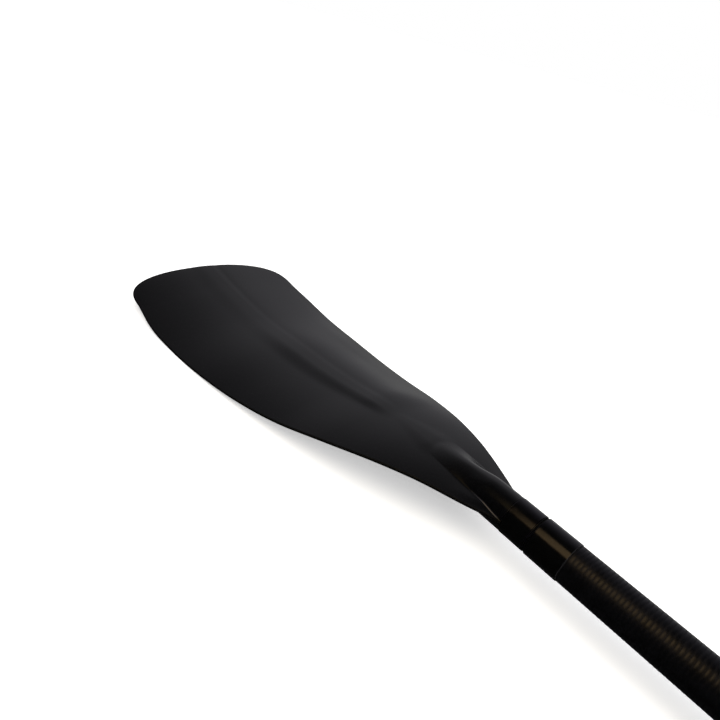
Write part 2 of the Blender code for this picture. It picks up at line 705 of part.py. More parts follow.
# Handle shaft with its end plug and the ring that guides it in the main shaft
tube("handle_shaft", handle_shaft_start, handle_shaft_end, handle_shaft_r, handle_bore_r, carbon_tube)
glide_r = shaft_bore_r - slide_gap
core_r = plug_core_diameter / 2
tube("glide_ring", glide_start, glide_end, glide_r, core_r + seat_gap, white_acetal)
stem_r = handle_bore_r - seat_gap
plug_flange_end = glide_start - seat_gap
plug_profile = [(plug_flange_end - end_plug_flange, 0), (plug_flange_end - end_plug_flange, handle_shaft_r),
                (plug_flange_end, handle_shaft_r), (plug_flange_end, core_r),
                (handle_shaft_start, core_r), (handle_shaft_start, stem_r),
                (handle_shaft_start + end_plug_stem, stem_r), (handle_shaft_start + end_plug_stem, 0)]
turned("end_plug", plug_profile, clamp_nylon, sides=32)

# Palm grip
neck_outer_r = handle_shaft_r + seat_gap + handle_collar_wall
tube("handle_collar", collar_ring_start, collar_ring_start + handle_collar_length, neck_outer_r,
     handle_shaft_r + seat_gap, soft_rubber)


def grip_half_width(share):
    # A waist above the collar, arms that spread to the full width, and a domed crown
    spread = ease(0.18, 0.72, share)
    dome = math.sqrt(max(1 - max((share - 0.62) / 0.38, 0.0) ** 2.6, 0.0))
    return (neck_outer_r + (grip_width / 2 - neck_outer_r) * spread) * (0.35 + 0.65 * dome)


def grip_half_depth(share):
    spread = ease(0.05, 0.75, share)
    dome = math.sqrt(max(1 - max((share - 0.66) / 0.34, 0.0) ** 2.4, 0.0))
    return (neck_outer_r + (grip_depth / 2 - neck_outer_r) * spread) * (0.16 + 0.84 * dome)


def grip_rings(first, last, count, inset):
    rings = []
    sides = 40
    for step in range(count + 1):
        share = first + (last - first) * step / count
        power = 2 / (2 + 0.9 * ease(0.1, 0.7, share))
        wide = grip_half_width(share) - inset
        deep = grip_half_depth(share) - inset
        ring = []
        for index in range(sides):
            turn = math.tau * index / sides
            across = wide * math.copysign(abs(math.cos(turn)) ** power, math.cos(turn))
            up = deep * math.copysign(abs(math.sin(turn)) ** power, math.sin(turn))
            ring.append((share * grip_height, across, up))
        rings.append(ring)
    return rings


grip_origin = (grip_start, 0, 0)
cover_share = 1 - grip_cover_height / grip_height
t_handle = loft("t_handle", grip_rings(0, 1, 26, 0), clamp_nylon, at=grip_origin, sharp=50.0)
core_cut_low = cover_share * grip_height
outside_core = guide(box("cut_cover_seat", (core_cut_low, -grip_width, -grip_width),
                         (grip_height + cut_past, grip_width, grip_width), at=grip_origin))
inner_share = 1 - (grip_cover_thickness + seat_gap) / grip_height
core_keep_rings = grip_rings(cover_share - 0.1, inner_share, 14, grip_cover_thickness + seat_gap)
core_keep = guide(loft("grip_core", core_keep_rings, None, at=grip_origin))
boolean(t_handle, outside_core)
boolean(t_handle, core_keep, "UNION")
handle_socket = guide(rod("cut_handle_socket", -cut_past, handle_socket_depth, handle_shaft_r + seat_gap, None,
                          at=grip_origin, sides=tube_sides))
boolean(t_handle, handle_socket)

cover_first = cover_share + seat_gap / grip_height
cover = loft("grip_cover", grip_rings(cover_first, 1, 16, 0), soft_rubber, at=grip_origin, sharp=50.0)
cover_hollow_rings = grip_rings(cover_share - 0.1, 1 - grip_cover_thickness / grip_height, 14, grip_cover_thickness)
cover_hollow = guide(loft("cut_cover_hollow", cover_hollow_rings, None, at=grip_origin))
boolean(cover, cover_hollow)

# Lay the paddle down: the blade's long edges and the underside of the clamp touch the floor together
clamp_middle = (clamp_start + clamp_end) / 2
land_r = clamp_r - clamp_land_depth


def floor_height(tilt):
    # Height of the shaft's axis over the floor at X = 0 when the clamp's land lies on the floor
    return clamp_middle * math.sin(tilt) + land_r * math.cos(tilt)


def blade_clearance(tilt):
    lowest = min(point.z * math.cos(tilt) - point.x * math.sin(tilt) for point in blade_rim)
    return lowest + floor_height(tilt)


low_tilt = 0.0
high_tilt = math.radians(5.0)
for step in range(40):
    tilt = (low_tilt + high_tilt) / 2
    if blade_clearance(tilt) < 0:
        low_tilt = tilt
    else:
        high_tilt = tilt

tip_reach = min(point.x * math.cos(tilt) + point.z * math.sin(tilt) for point in blade_rim)
grip_reach = grip_end * math.cos(tilt)
paddle.rotation_euler = (0, tilt, 0)
paddle.location = (-(tip_reach + grip_reach) / 2, 0, floor_height(tilt))

# The floor itself trims the clamp's land flat
floor_block = guide(box("cut_floor", (clamp_start - cut_past, -2 * clamp_r, -2 * clamp_r),
                        (clamp_end + cut_past, 2 * clamp_r, 0)))
floor_block.parent = None
floor_block.location = (paddle.location.x, 0, 0)
boolean(clamp, floor_block)
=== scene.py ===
import json
import math

import bmesh
import bpy
from mathutils import Matrix, Vector
from mathutils.kdtree import KDTree


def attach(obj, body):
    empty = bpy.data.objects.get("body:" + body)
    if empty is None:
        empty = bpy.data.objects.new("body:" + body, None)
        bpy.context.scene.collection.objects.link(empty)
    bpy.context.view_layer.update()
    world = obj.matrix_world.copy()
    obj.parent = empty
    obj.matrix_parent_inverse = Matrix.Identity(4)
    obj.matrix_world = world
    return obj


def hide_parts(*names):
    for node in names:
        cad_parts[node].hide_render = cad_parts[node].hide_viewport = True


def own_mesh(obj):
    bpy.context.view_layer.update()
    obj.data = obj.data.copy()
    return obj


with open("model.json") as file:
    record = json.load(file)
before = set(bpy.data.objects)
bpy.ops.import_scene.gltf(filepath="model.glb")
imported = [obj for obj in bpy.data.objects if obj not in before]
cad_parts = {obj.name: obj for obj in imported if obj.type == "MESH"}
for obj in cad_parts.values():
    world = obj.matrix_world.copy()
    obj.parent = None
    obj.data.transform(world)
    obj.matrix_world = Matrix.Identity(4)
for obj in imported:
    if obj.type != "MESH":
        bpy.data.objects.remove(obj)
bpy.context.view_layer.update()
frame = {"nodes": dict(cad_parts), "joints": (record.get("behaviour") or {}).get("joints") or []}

nodes = frame["nodes"]
mm = 0.001


def jointNamed(name):
    return next(row for row in frame["joints"] if row["name"] == name)


# Where the paddle lies. Its own long axis is the sliding joint's, its zero is the end of the blade's neck,
# and every piece below is modelled in millimetres along it: X towards the grip, Y across, Z out of the blade's face.
fitGap = 0.3        # between a piece and what it is fitted in or against
alongShaft = Vector(jointNamed("length_adjust")["axis"]).normalized()
acrossShaft = Vector((0, 1, 0))
outOfFace = alongShaft.cross(acrossShaft)
onAxis = Vector(jointNamed("handle_twist")["pos_m"])
collarStart = min((vert.co - onAxis).dot(alongShaft) for vert in nodes["neck_collar"].data.vertices)
neckEnd = onAxis + alongShaft * (collarStart - fitGap * mm)
turn = Matrix((alongShaft, acrossShaft, outOfFace)).transposed().to_4x4()
layDown = Matrix.Translation(neckEnd) @ turn @ Matrix.Scale(mm, 4)
standUp = layDown.inverted()


def span(node):
    # lowest and highest corner of a CAD node in the paddle's own millimetres
    points = [standUp @ vert.co for vert in nodes[node].data.vertices]
    low = Vector(min(point[k] for point in points) for k in range(3))
    high = Vector(max(point[k] for point in points) for k in range(3))
    return low, high


def ease(low, high, value):
    share = min(max((value - low) / (high - low), 0.0), 1.0)
    return share * share * (3 - 2 * share)


print("paddle frame ready, neck ends at", [round(value, 4) for value in neckEnd])

# Camera: the photograph's own view, over the paddle's neck and down along the blade
view = {
    "place": (112.74, -325.08, 266.14),
    "aim": (-198.0, 28.9, 0.0),
    "roll": 15.49,
    "lens": 29.55,
    "sensor": 36.0,
    "clip": (0.01, 60.0),
}


def addCamera():
    data = bpy.data.cameras.new("photoView")
    data.lens = view["lens"]
    data.sensor_width = view["sensor"]
    data.clip_start, data.clip_end = view["clip"]
    camera = bpy.data.objects.new("photoView", data)
    bpy.context.scene.collection.objects.link(camera)
    # level and roll are taken in the paddle's own frame and then laid down with it
    level = (Vector(view["aim"]) - Vector(view["place"])).to_track_quat("-Z", "Y").to_matrix().to_4x4()
    roll = Matrix.Rotation(math.radians(view["roll"]), 4, "Z")
    camera.matrix_world = Matrix.Translation(layDown @ Vector(view["place"])) @ turn @ level @ roll
    bpy.context.scene.camera = camera


addCamera()

# Materials
print("materials")


def linear(hexColour):
    # sRGB hex to the linear numbers that a shader takes
    parts = [int(hexColour[k:k + 2], 16) / 255 for k in (1, 3, 5)]
    return tuple(part / 12.92 if part <= 0.04045 else ((part + 0.055) / 1.055) ** 2.4 for part in parts) + (1.0,)


def addNode(tree, kind, values=None, links=None, stops=(), **settings):
    node = tree.nodes.new("ShaderNode" + kind)
    for name, value in settings.items():
        setattr(node, name, value)
    for socket, value in (values or {}).items():
        node.inputs[socket].default_value = value
    for socket, source in (links or {}).items():
        tree.links.new(source, node.inputs[socket])
    for k, (place, colour) in enumerate(stops):        # of a colour ramp, which starts with two
        row = node.color_ramp.elements
        element = row[k] if k < 2 else row.new(place)
        element.position, element.color = place, colour
    return node


def newMaterial(name, **values):
    made = bpy.data.materials.new(name)
    made.use_nodes = True
    shader = made.node_tree.nodes["Principled BSDF"]
    for socket, value in values.items():
        shader.inputs[socket.replace("_", " ")].default_value = value
    return made, made.node_tree, shader


def paddleCoordinates(tree):
    # object coordinates turned back so that X runs along the paddle, still in metres
    where = addNode(tree, "TexCoord")
    tilt = math.atan2(-alongShaft.z, alongShaft.x)
    return addNode(tree, "Mapping", {"Rotation": (0, -tilt, 0)}, {"Vector": where.outputs["Object"]}).outputs["Vector"]


def patterned(name, size, colours, rough, detail=2.0, stretch=None, bump=None, grain=None, cells=False, **values):
    # colour and roughness follow one pattern, and so does the bump unless it has a grain of its own;
    # sizes and the bump's depth are in mm, and stretch draws the pattern out along the paddle
    made, tree, shader = newMaterial(name, **values)
    where = paddleCoordinates(tree)
    if stretch:
        where = addNode(tree, "Mapping", {"Scale": (stretch, 1.0, 1.0)}, {"Vector": where}).outputs["Vector"]
    if cells:
        cell = addNode(tree, "TexVoronoi", {"Scale": 1 / (size * mm)}, {"Vector": where})
        pattern, stops = cell.outputs["Distance"], (0.1, 0.6)
    else:
        cloud = addNode(tree, "TexNoise", {"Scale": 1 / (size * mm), "Detail": detail}, {"Vector": where})
        pattern, stops = cloud.outputs["Fac"], (0.35, 0.65)
    shown = addNode(tree, "ValToRGB", links={"Fac": pattern}, stops=list(zip(stops, map(linear, colours))))
    tree.links.new(shown.outputs["Color"], shader.inputs["Base Color"])
    if rough:
        spread = addNode(tree, "MapRange", {"From Min": 0.3, "From Max": 0.7, "To Min": rough[0], "To Max": rough[1]},
                         {"Value": pattern})
        tree.links.new(spread.outputs["Result"], shader.inputs["Roughness"])
    if bump:
        if grain:
            pattern = addNode(tree, "TexNoise", {"Scale": 1 / (grain * mm)}, {"Vector": where}).outputs["Fac"]
        raised = addNode(tree, "Bump", {"Strength": bump[0], "Distance": bump[1] * mm}, {"Height": pattern})
        tree.links.new(raised.outputs["Normal"], shader.inputs["Normal"])
    return made


def marked(made, attribute, socket, value):
    # where the attribute is 1, the socket takes this value instead of its pattern
    tree = made.node_tree
    target = tree.nodes["Principled BSDF"].inputs[socket]
    kind, first, result = ("RGBA", 6, 2) if socket == "Base Color" else ("FLOAT", 2, 0)
    share = addNode(tree, "Attribute", attribute_name=attribute)
    mixed = addNode(tree, "Mix", {first + 1: value}, {0: share.outputs["Fac"], first: target.links[0].from_socket},
                    data_type=kind)
    tree.links.new(mixed.outputs[result], target)


# Sizes are in mm. Real grain, tooth and tool marks are finer still, and are drawn this coarse so that they show.
# glass-filled nylon, injection moulded: satin near-black skin with a very fine grain and slow flow clouds
nylon = patterned("mouldedNylon", 60, ("#050506", "#070708"), (0.23, 0.27), 3.0, bump=(0.25, 0.02), grain=0.45, IOR=1.5)
marked(nylon, "paintedHighlight", "Base Color", linear("#303034"))        # painted highlight: a pale line along the crease between fairing and plate near the neck
marked(nylon, "polish", "Roughness", 0.12)        # tighter sheen from the mould's polished steel
marked(nylon, "trimmed", "Roughness", 0.75)        # matt rim where the flash was taken off

# glass-filled nylon from a spark-eroded mould: charcoal with a fine even grain that breaks up the sheen
grained = patterned("grainedNylon", 0.3, ("#1c1c1e", "#242427"), (0.42, 0.5), 3.0, bump=(0.45, 0.03), IOR=1.5)

# polyolefin sleeve shrunk on and polished by its mould: glossy black with the faintest orange peel
sleeve = patterned("glossSleeve", 2.2, ("#030303", "#050505"), (0.15, 0.20), bump=(0.3, 0.02), IOR=1.46,
                   Specular_Tint=(0.97, 0.92, 1.12, 1.0))
marked(sleeve, "cut", "Base Color", linear("#3a3a3c"))        # painted highlight: the rim at the ferrule's end is drawn pale

# rolled carbon tube, cured under shrink tape: near-black with a cool sheen; the tape's ridges are in the mesh
carbon = patterned("tapedCarbon", 7, ("#050506", "#08080a"), (0.3, 0.35), IOR=1.46,
                   Specular_Tint=(0.97, 0.93, 1.1, 1.0))
marked(carbon, "groove", "Roughness", 0.6)        # matt lines of resin between the ridges

# thermoplastic rubber: matt black with a dusty fine tooth; the seal's is less dusty, and darker as painted shade of the
# gap between the sleeves where it sits
rubber = patterned("softRubber", 0.5, ("#0a0a0a", "#101011"), (0.55, 0.75), 3.0, bump=(0.5, 0.05), IOR=1.4,
                   Specular_IOR_Level=0.5)
sealRubberPaintedShade = patterned("sealRubberPaintedShade", 0.5, ("#030303", "#060606"), (0.55, 0.75), 3.0, bump=(0.5, 0.05), IOR=1.4,
                       Specular_IOR_Level=0.1)

# stainless steel turned on a lathe: bright with fine marks of the tool
steel = patterned("turnedSteel", 0.12, ("#b4b4b6", "#cfcfd0"), (0.22, 0.34), 1.0, Metallic=1.0)

# spring steel strip, rolled and blued a little: grey with streaks along the strip
strip = patterned("rolledStrip", 0.5, ("#8f949c", "#b2b6bd"), (0.26, 0.38), stretch=0.05, Metallic=1.0)

# aluminium tube, drawn and left bare: pale grey with long faint die lines
alloy = patterned("drawnAlloy", 0.4, ("#a2a5aa", "#bfc2c7"), (0.28, 0.4), stretch=0.02, Metallic=1.0)

# acetal, turned from bar: waxy off-white
acetal = patterned("whiteAcetal", 8, ("#dcdbd5", "#e6e5e0"), (0.36, 0.46), IOR=1.48)

# closed-cell polyethylene foam: dull grey with cells that show
foam = patterned("closedFoam", 0.8, ("#6e6e70", "#7f7f81"), None, bump=(0.6, 0.1), cells=True, Roughness=0.92)


def asObject(bm, name):
    mesh = bpy.data.meshes.new(name)
    bm.to_mesh(mesh)
    bm.free()
    made = bpy.data.objects.new(name, mesh)
    bpy.context.scene.collection.objects.link(made)
    return made


def placePiece(bm, name, look, body, node, sharp=40.0):
    # one finished piece: its place goes into its mesh, and the object stays at the origin
    bmesh.ops.remove_doubles(bm, verts=bm.verts, dist=1e-4)
    bmesh.ops.recalc_face_normals(bm, faces=bm.faces)
    bm.transform(layDown)
    piece = asObject(bm, name)
    piece.data.shade_smooth()
    piece.data.set_sharp_from_angle(angle=math.radians(sharp))
    piece.data.materials.append(look)
    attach(piece, body)
    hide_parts(node)
    return piece


def vertsOf(parts):
    return [part for part in parts if isinstance(part, bmesh.types.BMVert)]


def edgesOf(parts):
    return [part for part in parts if isinstance(part, bmesh.types.BMEdge)]


def turned(profile, sides=96):
    # a closed profile of (along, radius) points spun round the paddle's axis
    bm = bmesh.new()
    verts = [bm.verts.new((along, 0, radius)) for along, radius in profile]
    edges = [bm.edges.new(pair) for pair in zip(verts, verts[1:])]
    if profile[0][1] > 0 or profile[-1][1] > 0:
        edges.append(bm.edges.new((verts[-1], verts[0])))
    bmesh.ops.spin(bm, geom=verts + edges, cent=(0, 0, 0), axis=(1, 0, 0), angle=math.tau, steps=sides, use_merge=True)
    bmesh.ops.remove_doubles(bm, verts=bm.verts, dist=1e-4)
    bmesh.ops.recalc_face_normals(bm, faces=bm.faces)
    return bm


def roundEdges(bm, width, segments=3, over=40.0):
    # breaks every edge that turns by more than the given angle
    found = [edge for edge in bm.edges if len(edge.link_faces) == 2
             and edge.calc_face_angle(0.0) > math.radians(over)]
    bmesh.ops.bevel(bm, geom=found, offset=width, offset_type="OFFSET", segments=segments, profile=0.5,
                    affect="EDGES", clamp_overlap=True, material=-1)
    return bm


toolPast = 5.0        # how far a cutting tool reaches beyond the piece


def combine(bm, tools, operation="DIFFERENCE"):
    # exact cuts and unions for holes and roots that no spin or extrusion gives
    target = asObject(bm, "workPiece")
    others = [asObject(tool, "workTool") for tool in tools]
    for other in others:
        step = target.modifiers.new("cut", "BOOLEAN")
        step.operation = operation
        step.solver = "EXACT"
        step.object = other
    graph = bpy.context.evaluated_depsgraph_get()
    result = bmesh.new()
    result.from_object(target, graph)
    for made in [target] + others:
        mesh = made.data
        bpy.data.objects.remove(made)
        bpy.data.meshes.remove(mesh)
    return result


def block(low, high):
    bm = bmesh.new()
    bmesh.ops.create_cube(bm, size=1.0)
    bmesh.ops.scale(bm, vec=[b - a for a, b in zip(low, high)], verts=bm.verts)
    bmesh.ops.translate(bm, vec=[(a + b) / 2 for a, b in zip(low, high)], verts=bm.verts)
    return bm


directions = {"X": (0, "X"), "Y": (math.pi / 2, "Z"), "Z": (-math.pi / 2, "Y"), "-Z": (math.pi / 2, "Y")}


def lathe(profile, at=(0, 0, 0), direction="X", sides=64):
    # a turned piece laid along another direction and moved to its place
    angle, axis = directions[direction]
    bm = turned(profile, sides)
    bmesh.ops.rotate(bm, verts=bm.verts, cent=(0, 0, 0), matrix=Matrix.Rotation(angle, 3, axis))
    bmesh.ops.translate(bm, vec=at, verts=bm.verts)
    return bm


def bar(start, end, radius, at=(0, 0, 0), direction="X", sides=48):
    # a plain round bar, used as a drill or as a pin's blank
    return lathe([(start, 0), (start, radius), (end, radius), (end, 0)], at, direction, sides)


def ring(start, end, outer, inner, at=(0, 0, 0), direction="X", sides=96):
    return lathe([(start, inner), (start, outer), (end, outer), (end, inner)], at, direction, sides)


def cutAcross(bm, place, normal, **more):
    everything = bm.verts[:] + bm.edges[:] + bm.faces[:]
    return bmesh.ops.bisect_plane(bm, geom=everything, dist=1e-5, plane_co=place, plane_no=normal, **more)


def holdEnds(bm, low, high, inset):
    # a loop just inside each end, so that the rounded edges' shading stays out of the long face
    for place in (low + inset, high - inset):
        cutAcross(bm, (place, 0, 0), (1, 0, 0))
    return bm


def plainSleeve(node, name, look, body, bore, edge, segments=3, support=None):
    # a turned tube as long and as wide as its solid, with rounded edges
    low, high = span(node)
    bm = roundEdges(ring(low.x, high.x, high.y, bore, sides=128), edge, segments)
    if support:
        holdEnds(bm, low.x, high.x, edge + support)
    placePiece(bm, name, look, body, node)


# Blade
print("blade")
# all in mm and degrees; places are counted from the neck's end towards the tip, and lists are (place, value)
blade = {
    "side": [(0, 14.6), (6, 16.6), (18, 22.7), (50, 36.5), (110, 59.0), (175, 76.6), (215, 84.2),
             (262, 90.9), (316, 95.1), (355, 96.6), (388, 93.9)],
    "length": 427.0,
    "tipSquareness": 3.58,
    "tipCornerShare": 45.0,
    "tipStretchPower": 6,
    "tipStretchFrom": 0.5,
    "bend": [(0, 1.4), (25, 3.6), (60, 6.2), (90, 5.4), (130, 0.8), (175, -6.6), (215, -11.0),
             (262, -14.1), (322, -16.7), (380, -13.8), (427, -9.0)],
    "edgeDropAtNeck": 22.8,
    "edgeDropAtTip": 10.4,
    "edgeDropHalfWidth": 95.0,
    "edgeThickness": 2.36,
    "centreThickness": 5.0,
    "rimRounding": 0.77,
    "rimGrowth": 8.0,
    "thicknessPower": 1.5,
    "tipThinning": 0.45,
    "thinningFrom": 0.2,
    "ribHeight": 2.2,
    "ribCrestAtStart": 3.0,
    "ribCrestSpread": 3.5,
    "ribFootAtStart": 15.0,
    "ribFootSpread": 10.0,
    "ribFarCrest": 16.0,
    "ribFarFoot": 62.0,
    "grooveAt": 9.5,
    "grooveHalfWidth": 6.5,
    "grooveDepth": 0.22,
    "ribStart": 116.0,
    "ribFull": 150.0,
    "ribFade": 240.0,
    "ribLow": 315.0,
    "ribTipShare": 0.2,
    "neckRadius": 14.28,
    "fairingDrop": [(0, 0), (14, 0), (22, 0.15), (28, 0.8), (36, 2.0), (52, 4.2), (66, 6.1), (72, 7.0),
                    (76, 7.9), (80, 9.4)],
    "fairingRoundEnd": 22.0,
    "fairingRidgeFull": 48.0,
    "fairingFoot": 14.8,
    "fairingCrestShare": 0.35,
    "fairingFallOff": 3.0,
    "rampLength": 42.0,
    "rampHeight": 0.75,
    "rampCrestShare": 0.3,
    "rampFlank": 5.0,
    "backFull": 54.0,
    "backFairing": 190.0,
    "backTubeProud": 0.8,
    "backTubeSunk": 0.5,
    "backTubeNarrowing": 0.55,
    "backRibHalfWidth": 8.0,
    "backRibDepth": 2.0,
    "backRibEnd": 367.0,
    "filletReach": 1.2,
    "filletShare": 0.6,
    "creaseBlend": 0.35,
    "crispFrom": 34.0,
    "crispFull": 56.0,
    "crispShare": 0.65,
    "creaseLeast": 0.05,
    "plainCrease": 13.0,
    "holdToNose": 2.0,
    "holdBack": 150.0,
    "driftLength": 70.0,
    "rowSpacing": 2.0,
    "cornerRows": 26,
    "arcColumns": 22,
    "filletColumns": 8,
    "plateColumns": 27,
    "plateSpread": 0.9,
    "rimSteps": 6,
    "rimSupport": 0.3,
    "neckPolish": 0.75,
    "neckPolishFull": 24.0,
    "neckPolishEnd": 60.0,
    "paintedHighlightFull": 14.0,
    "paintedHighlightEnd": 32.0,
    "paintedHighlightGrows": (1.0, 4.0),
    "paintedHighlightPeak": 0.6,
    "paintedHighlightSpread": 0.4,
    "webLift": 1.0,
    "webWidth": 9.0,
    "webFull": 10.0,
    "webEnd": 44.0,
    "socketDepth": 20.3,
    "socketRadius": 13.2,
}


def smoothThrough(stations):
    # a smooth curve through (place, value) stations, its slope at each taken from its two neighbours
    places = [place for place, value in stations]
    values = [value for place, value in stations]
    count = len(places)
    slopes = []
    for k in range(count):
        if k == 0 or k == count - 1:
            near = 1 if k == 0 else k - 1
            slopes.append((values[near] - values[k]) / (places[near] - places[k]))
            continue
        before = places[k] - places[k - 1]
        after = places[k + 1] - places[k]
        rise = before**2 * values[k + 1] + (after**2 - before**2) * values[k] - after**2 * values[k - 1]
        slopes.append(rise / (before * after * (before + after)))

    def valueAt(place):
        place = min(max(place, places[0]), places[-1])
        k = max(index for index in range(count - 1) if places[index] <= place)
        reach = places[k + 1] - places[k]
        t = (place - places[k]) / reach
        start = (2 * t**3 - 3 * t**2 + 1) * values[k] + (t**3 - 2 * t**2 + t) * reach * slopes[k]
        return start + (3 * t**2 - 2 * t**3) * values[k + 1] + (t**3 - t**2) * reach * slopes[k + 1]

    return valueAt


halfWidthAt = smoothThrough(blade["side"])
bendAt = smoothThrough(blade["bend"])
fairingDropAt = smoothThrough(blade["fairingDrop"])
fairingNose = blade["fairingDrop"][-1][0]
sideEnd, sideEndHalfWidth = blade["side"][-1]
tipDepth = blade["length"] - sideEnd


def tipPoint(angle):
    # the tip is a quarter of a superellipse on each side of the centre line
    power = 2 / blade["tipSquareness"]
    across = sideEndHalfWidth * max(math.cos(math.radians(angle)), 0.0) ** power
    return sideEnd + tipDepth * math.sin(math.radians(angle)) ** power, across


cornerAlong, cornerAcross = tipPoint(blade["tipCornerShare"])


def tipAlong(across):
    share = min(abs(across), cornerAcross) / sideEndHalfWidth
    return sideEnd + tipDepth * (1 - share ** blade["tipSquareness"]) ** (1 / blade["tipSquareness"])


def plateHeight(along, across):
    drop = blade["edgeDropAtTip"] - blade["edgeDropAtNeck"]
    drop = blade["edgeDropAtNeck"] + drop * (along / blade["length"]) ** 2
    return bendAt(along) - drop * (across / blade["edgeDropHalfWidth"]) ** 2


def ribRise(along, across):
    # low rib: a short flank on one side, on the other a faint groove and a run-out over half the blade
    grow = ease(blade["ribStart"], blade["ribFull"], along)
    fade = 1 - (1 - blade["ribTipShare"]) * ease(blade["ribFade"], blade["ribLow"], along)
    spread = ease(blade["ribStart"], blade["ribFade"], along)
    foot = blade["ribFootAtStart"] + blade["ribFootSpread"] * spread
    crest = blade["ribCrestAtStart"] + blade["ribCrestSpread"] * spread
    near = ease(-foot, -crest, across)
    far = 1 - ease(blade["ribFarCrest"], blade["ribFarFoot"], across)
    inGroove = min(abs(across - blade["grooveAt"]) / blade["grooveHalfWidth"], 1.0)
    groove = blade["grooveDepth"] * grow * (1 - inGroove**2) ** 2
    return blade["ribHeight"] * grow * fade * near * far - groove


def rampRise(along, across):
    # low pointed ramp in front of the fairing's nose
    share = min(max((fairingNose + blade["rampLength"] - along) / blade["rampLength"], 0.0), 1.0)
    reach = blade["neckRadius"] * share
    if reach <= 0 or along < blade["backFull"]:
        return 0.0
    grow = ease(blade["backFull"], fairingNose, along)
    flank = ease(blade["rampCrestShare"] * reach, reach + blade["rampFlank"], abs(across))
    return blade["rampHeight"] * share * grow * (1 - flank)


def webRise(along, across, halfWidth):
    # close to the neck the plate rises to the tube's side
    fade = 1 - ease(blade["webFull"], blade["webEnd"], along)
    return blade["webLift"] * fade * ease(0, blade["webWidth"], halfWidth - abs(across))


def thicknessAt(along, across, halfWidth):
    share = min(abs(across) / halfWidth, 1.0)
    taper = 1 - blade["tipThinning"] * ease(blade["thinningFrom"], 1.0, along / blade["length"])
    extra = blade["centreThickness"] * taper - blade["edgeThickness"]
    return blade["edgeThickness"] + extra * (1 - share ** blade["thicknessPower"])


def backRib(along, across):
    share = min(abs(across) / blade["backRibHalfWidth"], 1.0)
    fade = 1 - ease(blade["backFairing"], blade["backRibEnd"], along)
    return blade["backRibDepth"] * fade * (1 - share**2) ** 2


def backTube(along):
    # half width, middle and bottom of the neck's tube where it runs on along the blade's back and sinks into it
    taper = ease(blade["backFull"], blade["backFairing"], along)
    fade = 1 - ease(blade["backFairing"], blade["backRibEnd"], along)
    thick = thicknessAt(along, 0, 1)
    plateMiddle = plateHeight(along, 0) - thick / 2
    bottomEnd = plateMiddle - thick / 2 - blade["backTubeProud"] * fade + blade["backTubeSunk"] * (1 - fade)
    bottom = -blade["neckRadius"] * (1 - taper) + bottomEnd * taper
    side = blade["neckRadius"] * (1 - blade["backTubeNarrowing"] * taper)
    return side, plateMiddle * ease(0.0, fairingNose, along), bottom


def ridgeHeight(along, across):
    # top of the fairing: the neck's round tube turns into a ridge with a rounded crest and straight flanks
    radius = blade["neckRadius"]
    base = plateHeight(along, radius)
    ridge = ease(blade["fairingRoundEnd"], blade["fairingRidgeFull"], along)
    roundFoot = math.sqrt(radius**2 - base**2)
    share = abs(across) / (roundFoot * (1 - ridge) + blade["fairingFoot"] * ridge)
    arc = (math.sqrt(max(radius**2 - (share * roundFoot) ** 2, 0.0)) - base) / (radius - base)
    blunt = blade["fairingCrestShare"]
    slant = 1 - (math.hypot(share, blunt) - blunt) / (math.hypot(1, blunt) - blunt)
    rise = radius - fairingDropAt(along) - base
    height = base + (rise * (arc * (1 - ridge) + slant * ridge) if rise > 0 else rise)
    return height - blade["fairingFallOff"] * max(share - 1.0, 0.0)


def softMax(a, b, reach):
    # the higher of two heights, with the step between them rounded over the given reach
    gap = max(reach - abs(a - b), 0.0) / reach if reach > 0 else 0.0
    return max(a, b) + gap * gap * reach / 4


def faceSection(along, halfWidth, front):
    # a section across the blade's face (front) or back: its surface, and how far the tube stands over the plate
    sign = 1 if front else -1
    side, middle, bottom = backTube(along)
    hidden = -1000.0 * sign        # where there is no tube, it stays far inside the plate

    def plain(across):
        height = plateHeight(along, across)
        return height + webRise(along, across, halfWidth) if front else height - thicknessAt(along, across, halfWidth)

    def tube(across):
        if front:
            return ridgeHeight(along, across) if along <= fairingNose else hidden
        return middle + (bottom - middle) * math.sqrt(1 - (across / side) ** 2) if across < side else hidden

    def surface(across):
        height = plain(across)
        height += ribRise(along, across) + rampRise(along, across) if front else -backRib(along, across)
        blend = blade["creaseBlend"] * (1 - ease(blade["crispFrom"], blade["crispFull"], along) if front else 1)
        return sign * softMax(sign * height, sign * tube(abs(across)), blend)

    def tubeOver(across):
        return sign * (tube(across) - plain(across))

    return surface, tubeOver


def creaseAcross(tubeOver):
    # how far out the tube meets the plate, or None where the tube is sunk in it
    if tubeOver(0.0) <= blade["creaseLeast"]:
        return None
    low, high = 0.0, blade["neckRadius"] + 2        # it lies between these, and each step halves them
    for step in range(30):
        middle = (low + high) / 2
        if tubeOver(middle) > 0:
            low = middle
        else:
            high = middle
    return low


def evenColumns(surface, crease, reach, count):
    # places from the middle to the fillet's start, the same distance apart along the section itself
    steps = 240
    line = [crease * math.sin(math.pi / 2 * k / steps) for k in range(steps + 1)]
    points = [Vector((across, surface(across))) for across in line]
    lengths = [0.0]
    for a, b in zip(points, points[1:]):
        lengths.append(lengths[-1] + (b - a).length)
    end = max(lengths[-1] - reach, lengths[-1] / 2)
    places = []
    k = 0
    for step in range(count + 1):
        target = end * step / count
        while k < steps - 1 and lengths[k + 1] < target:
            k += 1
        part = (target - lengths[k]) / max(lengths[k + 1] - lengths[k], 1e-9)
        places.append(line[k] + (line[k + 1] - line[k]) * min(max(part, 0.0), 1.0))
    return places


